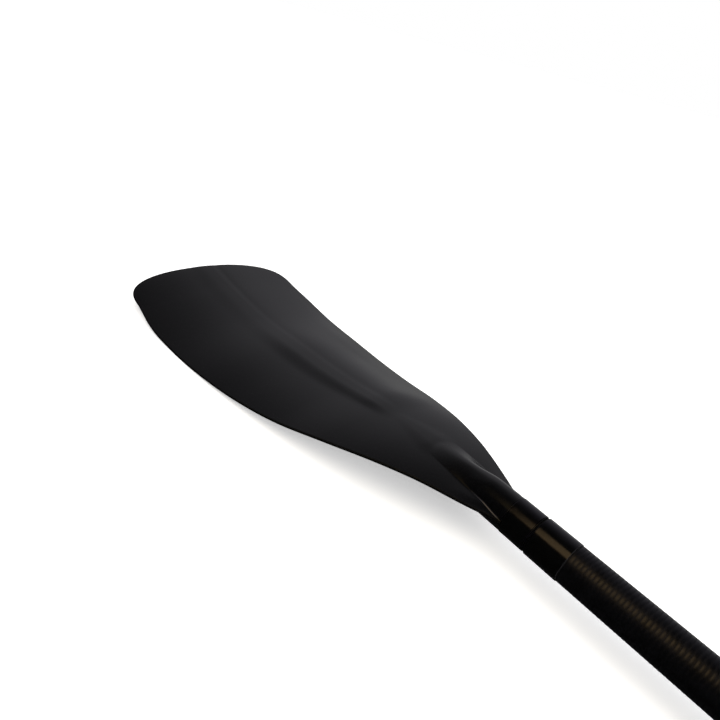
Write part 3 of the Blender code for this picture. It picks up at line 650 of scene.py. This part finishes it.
def sectionPoints(along, halfWidth, front, memory):
    # (across, height) from one edge to the other
    surface, tubeOver = faceSection(along, halfWidth, front)
    crease = creaseAcross(tubeOver)
    crisp = ease(blade["crispFrom"], blade["crispFull"], along) if front else 0.0
    fillet = blade["filletReach"] * (1 - blade["crispShare"] * crisp)
    holdFrom = fairingNose - blade["holdToNose"] if front else blade["holdBack"]
    count = blade["arcColumns"]
    drift = crease is None or along > holdFrom
    if drift:
        # beyond the fairing the columns drift to one place, the same on the face and on the back
        share = ease(holdFrom, holdFrom + blade["driftLength"], along)
        crease = memory["crease"] * (1 - share) + blade["plainCrease"] * share
        plain = [(blade["plainCrease"] - blade["filletReach"]) * k / count for k in range(count + 1)]
        columns = [held * (1 - share) + place * share for held, place in zip(memory["columns"], plain)]
    reach = min(fillet, (halfWidth - crease) * blade["filletShare"])
    if not drift:
        columns = evenColumns(surface, crease, reach, count)
        memory["crease"], memory["columns"] = crease, columns
    inner = columns[-1]
    outer = crease + reach
    halves = []
    for hand in (-1, 1):
        points = [(hand * across, surface(hand * across)) for across in columns]
        first, corner, last = [Vector((hand * place, surface(hand * place))) for place in (inner, crease, outer)]
        for k in range(1, blade["filletColumns"] + 1):
            t = k / blade["filletColumns"]
            spot = first * (1 - t) ** 2 + corner * 2 * t * (1 - t) + last * t**2
            points.append((spot.x, spot.y))
        inside = max(halfWidth - blade["rimSupport"], outer + (halfWidth - outer) / 2)
        for k in range(1, blade["plateColumns"]):
            across = hand * (outer + (inside - outer) * (k / (blade["plateColumns"] - 1)) ** blade["plateSpread"])
            points.append((across, surface(across)))
        points.append((hand * halfWidth, surface(hand * halfWidth)))
        halves.append(points)
    return halves[0][:0:-1] + halves[1]


def bladeRows():
    count = round(sideEnd / blade["rowSpacing"])
    rows = [(sideEnd * k / count, halfWidthAt(sideEnd * k / count)) for k in range(count + 1)]
    corner = blade["cornerRows"]
    rows += [tipPoint(blade["tipCornerShare"] * k / corner) for k in range(1, corner + 1)]
    return rows


def bladeSkin(bm, front):
    # a flat grid, every point of which is then set on the blade's face or back
    polish = bm.verts.layers.float["polish"]
    paintedHighlight = bm.verts.layers.float["paintedHighlight"]
    rows = bladeRows()
    arc, fillet = blade["arcColumns"], blade["filletColumns"]
    half = arc + fillet + blade["plateColumns"]
    grid = bmesh.ops.create_grid(bm, x_segments=len(rows) - 1, y_segments=2 * half, size=1.0)["verts"]
    memory = {}
    sections = [sectionPoints(along, halfWidth, front, memory) for along, halfWidth in rows]
    for vert in grid:
        row = round((vert.co.x + 1) / 2 * (len(rows) - 1))
        column = round((vert.co.y + 1) * half)
        along = rows[row][0]
        across, height = sections[row][column]
        share = along / cornerAlong
        stretched = along + (tipAlong(across) - cornerAlong) * share ** blade["tipStretchPower"]
        if share > blade["tipStretchFrom"]:
            height += plateHeight(stretched, across) - plateHeight(along, across)
        vert.co = (-stretched, across, height)
        beside = abs(column - half)
        if not front or beside > arc + fillet:
            continue
        vert[polish] = blade["neckPolish"] * (1 - ease(blade["neckPolishFull"], blade["neckPolishEnd"], along))
        # in the fillet a pale line is painted in, a painted highlight along the crease that fades away from the neck
        if beside > arc:
            line = 1 - ease(blade["paintedHighlightFull"], blade["paintedHighlightEnd"], along)
            off = abs((beside - arc) / fillet - blade["paintedHighlightPeak"]) / blade["paintedHighlightSpread"]
            vert[polish] = max(vert[polish], line)
            vert[paintedHighlight] = line * (1 - min(off, 1)) * ease(*blade["paintedHighlightGrows"], along)
    return grid


def makeBlade():
    bm = bmesh.new()
    for name in ("polish", "paintedHighlight", "trimmed"):
        bm.verts.layers.float.new(name)
    face = bladeSkin(bm, True)
    back = bladeSkin(bm, False)
    faceSet = set(face)
    border = [edge for edge in bm.edges if len(edge.link_faces) == 1
              and not all(abs(vert.co.x) < 1e-6 for vert in edge.verts)]
    bmesh.ops.bridge_loops(bm, edges=border)
    rungs = [edge for edge in bm.edges if (edge.verts[0] in faceSet) != (edge.verts[1] in faceSet)]
    ends = KDTree(len(rungs))
    heights = []
    for edge in rungs:
        upper, lower = sorted(edge.verts, key=lambda vert: -vert.co.z)
        ends.insert((upper.co.x, upper.co.y, 0), len(heights))
        heights.append((upper.co.z, lower.co.z))
    ends.balance()
    split = bmesh.ops.subdivide_edges(bm, edges=rungs, cuts=blade["rimSteps"] - 1, use_grid_fill=True)
    trimmed = bm.verts.layers.float["trimmed"]
    for vert in set(vertsOf(split["geom_inner"])):
        high, low = heights[ends.find((vert.co.x, vert.co.y, 0))[1]]
        share = (vert.co.z - low) / (high - low)
        angle = (share - 0.5) * math.pi
        outward = Vector((vert.co.x + blade["length"] / 2, vert.co.y, 0)).normalized()
        grow = ease(0.0, blade["rimGrowth"], -vert.co.x)
        vert.co.z = (high + low) / 2 + (high - low) / 2 * math.sin(angle)
        vert.co += outward * blade["rimRounding"] * math.cos(angle) * grow
        vert[trimmed] = 1.0
    # the open end at the neck is drawn in to the socket's bore, pushed in and closed
    neck = [edge for edge in bm.edges if len(edge.link_faces) == 1]
    mouth = bmesh.ops.extrude_edge_only(bm, edges=neck)["geom"]
    for vert in vertsOf(mouth):
        out = Vector((0, vert.co.y, vert.co.z)).normalized() * blade["socketRadius"]
        vert.co = (0, out.y, out.z)
    deep = bmesh.ops.extrude_edge_only(bm, edges=edgesOf(mouth))["geom"]
    bmesh.ops.translate(bm, vec=(-blade["socketDepth"], 0, 0), verts=vertsOf(deep))
    bmesh.ops.holes_fill(bm, edges=edgesOf(deep), sides=0)
    placePiece(bm, "moulded_blade", nylon, "main", "blade", sharp=45.0)


makeBlade()

# Take-down joint: two glossy sleeves with a seal between them
print("joint")
joint = {"edge": 0.3, "rimEdge": 0.25, "support": 0.25, "paintedRimHighlightBand": 0.2}
bore = blade["socketRadius"]
plainSleeve("neck_collar", "collar_sleeve", sleeve, "main", bore, joint["edge"],
            support=joint["support"])
plainSleeve("joint_seal", "seal_ring", sealRubberPaintedShade, "main", bore, joint["edge"])

buttonLow, buttonHigh = span("lock_button")
buttonX = (buttonLow.x + buttonHigh.x) / 2
ferrule = {"holeRadius": 4.3, "lip": 1.5, "wall": 0.68, "drill": (8, 40)}


def makeFerrule():
    low, high = span("joint_ferrule")
    seat = high.y - ferrule["wall"]
    lipEnd = low.x + ferrule["lip"]
    profile = [(low.x, bore), (low.x, high.y), (high.x, high.y), (high.x, seat), (lipEnd, seat), (lipEnd, bore)]
    bm = roundEdges(turned(profile, 128), joint["rimEdge"])
    drill = bar(*ferrule["drill"], ferrule["holeRadius"], (buttonX, 0, 0), "-Z", 64)
    bm = holdEnds(combine(bm, [drill]), low.x, high.x, joint["rimEdge"] + joint["support"])
    # marks the thin band at the ferrule's rim where a painted highlight makes the sleeve pale
    cut = bm.verts.layers.float.new("cut")
    for vert in bm.verts:
        if vert.co.x > high.x - joint["paintedRimHighlightBand"]:
            vert[cut] = 1.0
    placePiece(bm, "ferrule_sleeve", sleeve, "main", "joint_ferrule")


button = {"radius": 4.0, "flangeThickness": 1.6, "dome": 1.2, "flat": 0.55, "domeSteps": 8, "edge": 0.15}


def makeButton():
    # turned button with a domed head and the flange that keeps it in the spigot
    bottom, tip, flange = -buttonHigh.z, -buttonLow.z, buttonHigh.y
    radius = button["radius"]
    shoulder = bottom + button["flangeThickness"]
    profile = [(bottom, 0), (bottom, flange), (shoulder, flange), (shoulder, radius)]
    for k in range(button["domeSteps"] + 1):
        angle = math.pi / 2 * k / button["domeSteps"]
        rim = button["flat"] + (1 - button["flat"]) * math.cos(angle)
        profile.append((tip - button["dome"] * (1 - math.sin(angle)), radius * rim))
    profile.append((tip, 0))
    bm = roundEdges(lathe(profile, (buttonX, 0, 0), "-Z"), button["edge"])
    placePiece(bm, "turned_button", steel, "button", "lock_button")


spring = {
    "thickness": 0.6,
    "padLength": 7.0,
    "reach": 28.0,
    "bendRadius": 3.5,
    "bendAngle": 156.0,
    "bendSteps": 20,
    "footLift": 0.4,
    "edge": 0.12,
}


def makeSpring():
    # flat strip bent to a V: one leg lies under the button, the other on the far wall of the spigot
    low, high = span("button_spring")
    half = spring["thickness"] / 2
    near, far, pad = low.z + half, high.z - half, spring["padLength"] / 2
    path = [(-pad, near), (pad, near)]
    for k in range(spring["bendSteps"] + 1):
        angle = math.radians(spring["bendAngle"] * (k / spring["bendSteps"] - 0.5))
        path.append((spring["reach"] + spring["bendRadius"] * math.cos(angle), spring["bendRadius"] * math.sin(angle)))
    path += [(pad, far - spring["footLift"]), (0, far)]
    bm = bmesh.new()
    verts = [bm.verts.new((buttonX + along, low.y, height)) for along, height in path]
    line = [bm.edges.new(pair) for pair in zip(verts, verts[1:])]
    wide = bmesh.ops.extrude_edge_only(bm, edges=line)["geom"]
    bmesh.ops.translate(bm, vec=(0, high.y - low.y, 0), verts=vertsOf(wide))
    bmesh.ops.recalc_face_normals(bm, faces=bm.faces)
    bmesh.ops.solidify(bm, geom=bm.faces[:], thickness=spring["thickness"])
    heights = [vert.co.z for vert in bm.verts]
    centre = (low.z + high.z) / 2 - (min(heights) + max(heights)) / 2
    bmesh.ops.translate(bm, vec=(0, 0, centre), verts=bm.verts)
    piece = placePiece(roundEdges(bm, spring["edge"]), "leaf_spring", strip, "main", "button_spring")
    # the button's travel is read, and the spring is given a mesh of its own
    travel = max(jointNamed("lock_button_press")["range_m"]) / mm
    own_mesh(piece)


makeFerrule()
makeButton()
makeSpring()

# Main shaft with the ridges of its wrapping tape
print("shafts")
shaft = {
    "sides": 48,
    "chamfer": 0.3,
    "shoulder": (0.2, 0.05),
    "tapeFrom": 0.4,
    "tapeUntil": 1.0,
    "tapePitch": 2.9,
    "tapeDepth": 0.12,
    "tapeWave": ((0.0, 1.0), (0.25, 0.5), (0.5, 0.0), (0.75, 0.5)),
    "grooveUntil": 2.0,
    "grooveShare": 0.1,
}


def makeMainShaft():
    low, high = span("main_shaft")
    outer = high.y
    collar = span("joint_ferrule")[1]
    seat = collar.y - ferrule["wall"] - fitGap
    step = collar.x + fitGap
    chamfer, pitch = shaft["chamfer"], shaft["tapePitch"]
    past, drop = shaft["shoulder"]
    profile = [(low.x, bore), (low.x, seat), (step, seat), (step, outer - chamfer), (step + past, outer - drop)]
    start = step + shaft["tapeFrom"]
    for k in range(int((high.x - shaft["tapeUntil"] - start) / pitch)):
        for share, depth in shaft["tapeWave"]:
            profile.append((start + k * pitch + share * pitch, outer - depth * shaft["tapeDepth"]))
    profile += [(high.x - chamfer, outer), (high.x, outer - chamfer), (high.x, bore)]
    bm = turned(profile, shaft["sides"])
    groove = bm.verts.layers.float.new("groove")
    for vert in bm.verts:
        phase = (vert.co.x - start) / pitch % 1.0
        if start < vert.co.x < high.x - shaft["grooveUntil"] and min(phase, 1 - phase) < shaft["grooveShare"]:
            vert[groove] = 1.0
    placePiece(bm, "taped_shaft", carbon, "main", "main_shaft")


makeMainShaft()

# smooth tube that slides in the main shaft
handleShaft = {"wall": 1.25, "edge": 0.3, "support": 0.5}
plainSleeve("handle_shaft", "smooth_shaft", carbon, "handle",
            span("handle_shaft")[1].y - handleShaft["wall"], handleShaft["edge"], support=handleShaft["support"])

# Lever clamp
print("clamp")
clamp = {
    "radius": 19.5,
    "rounding": 1.2,
    "lowerBore": 14.8,
    "upperBore": 14.2,
    "stepAt": 1172.3,
    "lugLength": 25.0,
    "lugFace": 8.1,
    "lugTop": 31.0,
    "lugRoot": 16.3,
    "lugRounding": 3.0,
    "slitWidth": 2.2,
    "slitStop": 9.0,
    "slitFloor": 6.4,
    "reliefRadius": 2.0,
    "boltHole": 2.2,
}
boltLow, boltHigh = span("clamp_bolt")
boltX = (boltLow.x + boltHigh.x) / 2
boltZ = (boltLow.z + boltHigh.z) / 2


def slitTool(start, end, top):
    half = clamp["slitWidth"] / 2
    return block((start, -half, clamp["slitFloor"]), (end, half, top))


def makeClamp():
    # split collar with two lugs; its underside is cut flat where it lies on the floor
    low, high = span("clamp_body")
    radius = clamp["radius"]
    profile = [(low.x, clamp["lowerBore"]), (low.x, radius), (high.x, radius), (high.x, clamp["upperBore"]),
               (clamp["stepAt"], clamp["upperBore"]), (clamp["stepAt"], clamp["lowerBore"])]
    body = roundEdges(turned(profile, 128), clamp["rounding"], 4)
    lugHalf = clamp["lugLength"] / 2
    lugs = block((boltX - lugHalf, -clamp["lugFace"], clamp["lugRoot"]),
                 (boltX + lugHalf, clamp["lugFace"], clamp["lugTop"]))
    roundEdges(lugs, clamp["lugRounding"], 6)
    body = combine(body, [lugs], "UNION")
    slitStart = low.x + clamp["slitStop"]
    above, drilled = clamp["lugTop"] + toolPast, clamp["radius"] + toolPast
    tools = [slitTool(slitStart, high.x + toolPast, above),
             bar(clamp["slitFloor"], above, clamp["reliefRadius"], (slitStart, 0, 0), "Z"),
             bar(-drilled, drilled, clamp["boltHole"], (boltX, 0, boltZ), "Y")]
    bm = combine(body, tools)
    up = (standUp.to_3x3() @ Vector((0, 0, 1))).normalized()
    cut = cutAcross(bm, standUp @ Vector((0, 0, 0)), up, clear_inner=True)
    bmesh.ops.holes_fill(bm, edges=edgesOf(cut["geom_cut"]), sides=0)
    placePiece(bm, "split_clamp", grained, "main", "clamp_body", sharp=30.0)


liner = {"bore": 12.8, "flange": 1.5, "edge": 0.25}


def makeLiner():
    # split bush between the clamp and the handle shaft, with a flange that shows at the clamp's end
    low, high = span("clamp_liner")
    sleeveRadius = clamp["upperBore"] - fitGap
    flangeStart = high.x - liner["flange"]
    profile = [(low.x, liner["bore"]), (low.x, sleeveRadius), (flangeStart, sleeveRadius),
               (flangeStart, high.y), (high.x, high.y), (high.x, liner["bore"])]
    body = roundEdges(turned(profile, 128), liner["edge"])
    bm = combine(body, [slitTool(low.x - toolPast, high.x + toolPast, high.y + toolPast)])
    placePiece(bm, "split_liner", acetal, "main", "clamp_liner", sharp=30.0)


screw = {"headHeight": 4.0, "rounding": 0.5, "socketAcross": 3.0, "socketDepth": 2.8, "washerEdge": 0.2}


def makeScrew():
    # cap screw with a hexagon socket, its washer and the cam's washer
    head, end, headRadius = boltLow.y, boltHigh.y, boltHigh.z - boltZ
    shank = clamp["boltHole"] - fitGap
    profile = [(head, 0), (head, headRadius), (head + screw["headHeight"], headRadius),
               (head + screw["headHeight"], shank), (end, shank), (end, 0)]
    body = roundEdges(lathe(profile, (boltX, 0, boltZ), "Y"), screw["rounding"], 4)
    hexagon = bar(head - toolPast, head + screw["socketDepth"], screw["socketAcross"] / math.sqrt(3),
                  (boltX, 0, boltZ), "Y", 6)
    placePiece(combine(body, [hexagon]), "cap_screw", steel, "main", "clamp_bolt", sharp=30.0)
    for node, name in (("bolt_washer", "head_washer"), ("cam_washer", "hard_washer")):
        low, high = span(node)
        bm = ring(low.y, high.y, high.x - boltX, clamp["boltHole"], (boltX, 0, boltZ), "Y")
        placePiece(roundEdges(bm, screw["washerEdge"]), name, steel, "main", node)


pin = {"edge": 0.5, "tapFrom": -20}
pinLow, pinHigh = span("cam_pin")
pinY = (pinLow.y + pinHigh.y) / 2


def makePin():
    # cross pin with broken edges, tapped for the screw
    body = roundEdges(bar(pinLow.x, pinHigh.x, pinHigh.z - boltZ, (0, pinY, boltZ), "X", 64), pin["edge"])
    end = boltHigh.y - pinY
    tapped = bar(end + pin["tapFrom"], end + fitGap, clamp["boltHole"], (boltX, pinY, boltZ), "Y")
    placePiece(combine(body, [tapped]), "cross_pin", steel, "main", "cam_pin", sharp=30.0)


lever = {
    "camRadius": 5.7,
    "camOffset": 0.8,
    "pinHole": 3.8,
    "thickness": 3.6,
    "clearance": 0.8,
    "rootAngle": 36.0,
    "reachAngle": 118.0,
    "rootLift": 2.4,
    "rootLiftEnd": 0.3,
    "tipLift": 2.2,
    "tipLiftFrom": 0.64,
    "steps": 48,
    "slotWidth": 5.0,
    "slotBack": 5.2,
    "slotHalfHeight": 2.2,
    "slotPast": 12.0,
    "rounding": 0.9,
    "camRounding": 0.6,
}


def makeLever():
    # cam head on the pin, and an arm that lies round the clamp with its tip lifted for the finger
    low, high = span("clamp_lever")
    middle = clamp["radius"] + lever["clearance"] + lever["thickness"] / 2
    arm = bmesh.new()
    rows = []
    for k in range(lever["steps"] + 1):
        share = k / lever["steps"]
        angle = math.radians(lever["rootAngle"] + (lever["reachAngle"] - lever["rootAngle"]) * share)
        lift = lever["rootLift"] * (1 - ease(0.0, lever["rootLiftEnd"], share))
        lift += lever["tipLift"] * ease(lever["tipLiftFrom"], 1.0, share)
        rows.append([arm.verts.new((low.x, reach * math.sin(angle), reach * math.cos(angle)))
                     for reach in (middle + lift - lever["thickness"] / 2, middle + lift + lever["thickness"] / 2)])
    side = [arm.faces.new((a[0], a[1], b[1], b[0])) for a, b in zip(rows, rows[1:])]
    pushed = bmesh.ops.extrude_face_region(arm, geom=side)["geom"]
    bmesh.ops.translate(arm, vec=(high.x - low.x, 0, 0), verts=vertsOf(pushed))
    bmesh.ops.recalc_face_normals(arm, faces=arm.faces)
    roundEdges(arm, lever["rounding"], 4)
    cam = roundEdges(bar(low.x, high.x, lever["camRadius"], (0, pinY - lever["camOffset"], boltZ), "X", 96),
                     lever["camRounding"], 4)
    slotHalf = lever["slotWidth"] / 2
    slot = block((boltX - slotHalf, pinY - lever["slotPast"], boltZ - lever["slotHalfHeight"]),
                 (boltX + slotHalf, pinY + lever["slotBack"], boltZ + lever["slotPast"]))
    hole = bar(low.x - toolPast, high.x + toolPast, lever["pinHole"], (0, pinY, boltZ), "X", 96)
    bm = combine(combine(cam, [arm], "UNION"), [hole, slot])
    placePiece(bm, "cam_lever", grained, "lever", "clamp_lever", sharp=30.0)


makeClamp()
makeLiner()
makeScrew()
makePin()
makeLever()

# Palm grip
print("grip")
grip = {
    "height": 54.0,
    "coverHeight": 21.0,
    "neckRadius": 15.6,
    "socketRadius": 13.0,
    "socketDepth": 30.0,
    "seam": 0.3,
    "seamRounding": 0.5,
    "collarRounding": 0.8,
    "rings": 72,
    "sides": 128,
    "squareness": 0.9,
    "squareFrom": 0.1,
    "squareTo": 0.7,
    "across": {"full": 104.0, "spread": (0.18, 0.72), "domeFrom": 0.62, "domePower": 2.6, "crown": 0.35},
    "deep": {"full": 31.0, "spread": (0.05, 0.75), "domeFrom": 0.66, "domePower": 2.4, "crown": 0.16},
}
gripStart = span("t_handle")[0].x


def gripReach(share, way):
    # a waist above the collar, arms that spread to the full size, and a domed crown
    spread = ease(*way["spread"], share)
    dome = math.sqrt(max(1 - max((share - way["domeFrom"]) / (1 - way["domeFrom"]), 0.0) ** way["domePower"], 0.0))
    wide = grip["neckRadius"] + (way["full"] / 2 - grip["neckRadius"]) * spread
    return wide * (way["crown"] + (1 - way["crown"]) * dome)


def gripShell(first, last):
    # a plain turned rod, pushed out to the grip's sections, which go from round to nearly square
    count = round(grip["rings"] * (last - first))
    shares = [first + (last - first) * k / count for k in range(count + 1)]
    bm = turned([(first, 0)] + [(share, 1.0) for share in shares] + [(last, 0)], grip["sides"])
    for vert in bm.verts:
        share = vert.co.x
        if math.hypot(vert.co.y, vert.co.z) > 0.5:
            power = 2 / (2 + grip["squareness"] * ease(grip["squareFrom"], grip["squareTo"], share))
            wide, deep = gripReach(share, grip["across"]), gripReach(share, grip["deep"])
            vert.co.y = wide * math.copysign(abs(vert.co.y) ** power, vert.co.y)
            vert.co.z = deep * math.copysign(abs(vert.co.z) ** power, vert.co.z)
        vert.co.x = gripStart + share * grip["height"]
    return roundEdges(bm, grip["seamRounding"], 4, over=50)


def makeGrip():
    # moulded grip and the soft cap over its crown, with a fine groove between them
    coverShare = 1 - grip["coverHeight"] / grip["height"]
    socket = bar(gripStart - toolPast, gripStart + grip["socketDepth"], grip["socketRadius"], sides=96)
    handle = combine(gripShell(0, coverShare), [socket])
    placePiece(handle, "moulded_grip", grained, "handle", "t_handle", sharp=30.0)
    cover = gripShell(coverShare + grip["seam"] / grip["height"], 1)
    placePiece(cover, "soft_cap", rubber, "handle", "grip_cover", sharp=50.0)


makeGrip()
plainSleeve("handle_collar", "soft_collar", rubber, "handle", grip["socketRadius"],
            grip["collarRounding"], 4, joint["support"])

# CAD nodes that keep their shape and take the finished materials
print("carried-over pieces")
finishes = {"spigot_tube": alloy, "spigot_plug": foam, "shaft_plug": foam, "glide_ring": acetal, "end_plug": grained}
for name, look in finishes.items():
    slots = nodes[name].data.materials
    if len(slots):
        for index in range(len(slots)):
            slots[index] = look
    else:
        slots.append(look)

# Stage: a pale floor under soft light
print("stage and light")
stage = {
    "floorSize": 200.0,
    "floorColour": "#f4f4f4",
    "floorGlow": 0.5,
    "floorFront": (-0.05, 0.004),
    "floorBack": (0.30, 0.42),
}
# brightness of the room's walls by height over the horizon, and by how far they lie towards the bright side
room = {
    "height": [(0.0, 0.295), (0.14, 0.275), (0.28, 0.28), (0.41, 0.325), (0.53, 0.34), (0.64, 0.31), (0.74, 0.27),
               (0.83, 0.2), (0.9, 0.15), (1.0, 0.15)],
    "brightSide": (-0.707, 0.707, 0.0),
    "side": [(0.0, 0.015), (0.55, 0.02), (0.65, 0.1), (0.72, 0.38), (0.755, 0.45), (0.8, 0.52), (0.825, 0.6),
             (0.85, 0.7), (0.88, 0.87), (0.915, 0.96), (0.95, 1.0)],
    "tint": (0.99, 0.97, 1.04),
}


def addFloor():
    bm = bmesh.new()
    bmesh.ops.create_grid(bm, x_segments=1, y_segments=1, size=stage["floorSize"] / 2)
    floor = asObject(bm, "studioFloor")
    paint, tree, shader = newMaterial("paintedFloor", Base_Color=linear(stage["floorColour"]), Roughness=0.9,
                                      Specular_IOR_Level=0.0)
    # seen straight from the camera the floor glows a little, so that it reads as plain white and keeps its shadow;
    # in the paddle's sheen it is pale behind the paddle and dark in front of it, as in the photograph
    path = addNode(tree, "LightPath")
    where = addNode(tree, "TexCoord")
    parts = addNode(tree, "SeparateXYZ", links={"Vector": where.outputs["Object"]})
    (front, dark), (back, pale) = stage["floorFront"], stage["floorBack"]
    behind = addNode(tree, "MapRange", {"From Min": front, "From Max": back, "To Min": dark, "To Max": pale},
                     {"Value": parts.outputs["Y"]}, interpolation_type="SMOOTHSTEP")
    sheen = addNode(tree, "Emission", links={"Strength": behind.outputs["Result"]})
    glow = addNode(tree, "Emission", {"Strength": stage["floorGlow"]})
    seen = addNode(tree, "AddShader", links={0: shader.outputs[0], 1: glow.outputs[0]})
    shown = addNode(tree, "MixShader",
                    links={0: path.outputs["Is Camera Ray"], 1: shader.outputs[0], 2: seen.outputs[0]})
    mirrored = addNode(tree, "Math", links={0: path.outputs["Is Glossy Ray"], 1: path.outputs["Is Transmission Ray"]},
                       operation="MAXIMUM")
    both = addNode(tree, "MixShader", links={0: mirrored.outputs[0], 1: shown.outputs[0], 2: sheen.outputs[0]})
    tree.links.new(both.outputs[0], tree.nodes["Material Output"].inputs["Surface"])
    floor.data.materials.append(paint)


def addWorld():
    # pale walls beyond the blade, a dim ceiling and nothing bright behind the camera; seen directly it is white
    world = bpy.data.worlds.new("studioRoom")
    bpy.context.scene.world = world
    world.use_nodes = True
    tree = world.node_tree
    back = tree.nodes["Background"]
    where = addNode(tree, "TexCoord")
    parts = addNode(tree, "SeparateXYZ", links={"Vector": where.outputs["Generated"]})
    towards = addNode(tree, "VectorMath", {1: room["brightSide"]}, {0: where.outputs["Generated"]},
                      operation="DOT_PRODUCT")
    half = addNode(tree, "MapRange", {"From Min": -1.0, "From Max": 1.0}, {"Value": towards.outputs["Value"]})
    both = addNode(tree, "VectorMath", operation="MULTIPLY")
    for k, (source, name) in enumerate(((parts.outputs["Z"], "height"), (half.outputs["Result"], "side"))):
        stops = [(place, (level, level, level, 1.0)) for place, level in room[name]]
        ramp = addNode(tree, "ValToRGB", links={"Fac": source}, stops=stops)
        tree.links.new(ramp.outputs["Color"], both.inputs[k])
    tinted = addNode(tree, "VectorMath", {1: room["tint"]}, {0: both.outputs[0]}, operation="MULTIPLY")
    path = addNode(tree, "LightPath")
    shown = addNode(tree, "Mix", links={"Factor": path.outputs["Is Camera Ray"]}, data_type="RGBA")
    tree.links.new(tinted.outputs[0], shown.inputs[6])
    shown.inputs[7].default_value = (1.0, 1.0, 1.0, 1.0)
    tree.links.new(shown.outputs[2], back.inputs["Color"])
    back.inputs["Strength"].default_value = 1.0


# a broad ceiling light that leaves no highlight of its own, and a narrow warm panel that draws the golden strip
lamps = {
    "ceilingLight": {"kind": "SUN", "towards": (0.1, -0.1, 1.0), "strength": 3.0, "spread": 100.0},
    "warmStrip": {"kind": "AREA", "towards": (-0.05, -0.45, 0.89), "strength": 1.4, "colour": "#ffdd97",
                  "size": (0.46, 0.72), "aim": (40, 0, 15), "distance": 1.2},
}


def addLamp(name, settings):
    data = bpy.data.lights.new(name, settings["kind"])
    data.energy = settings["strength"]
    lamp = bpy.data.objects.new(name, data)
    bpy.context.scene.collection.objects.link(lamp)
    towards = Vector(settings["towards"]).normalized()
    lamp.rotation_euler = towards.to_track_quat("Z", "Y").to_euler()
    if settings["kind"] == "SUN":
        data.angle = math.radians(settings["spread"])
        lamp.visible_glossy = False
        return
    data.shape = "RECTANGLE"
    data.size, data.size_y = settings["size"]
    data.color = linear(settings["colour"])[:3]
    lamp.location = layDown @ Vector(settings["aim"]) + towards * settings["distance"]


addFloor()
addWorld()
for name, settings in lamps.items():
    addLamp(name, settings)

bpy.context.scene.view_settings.view_transform = "Standard"
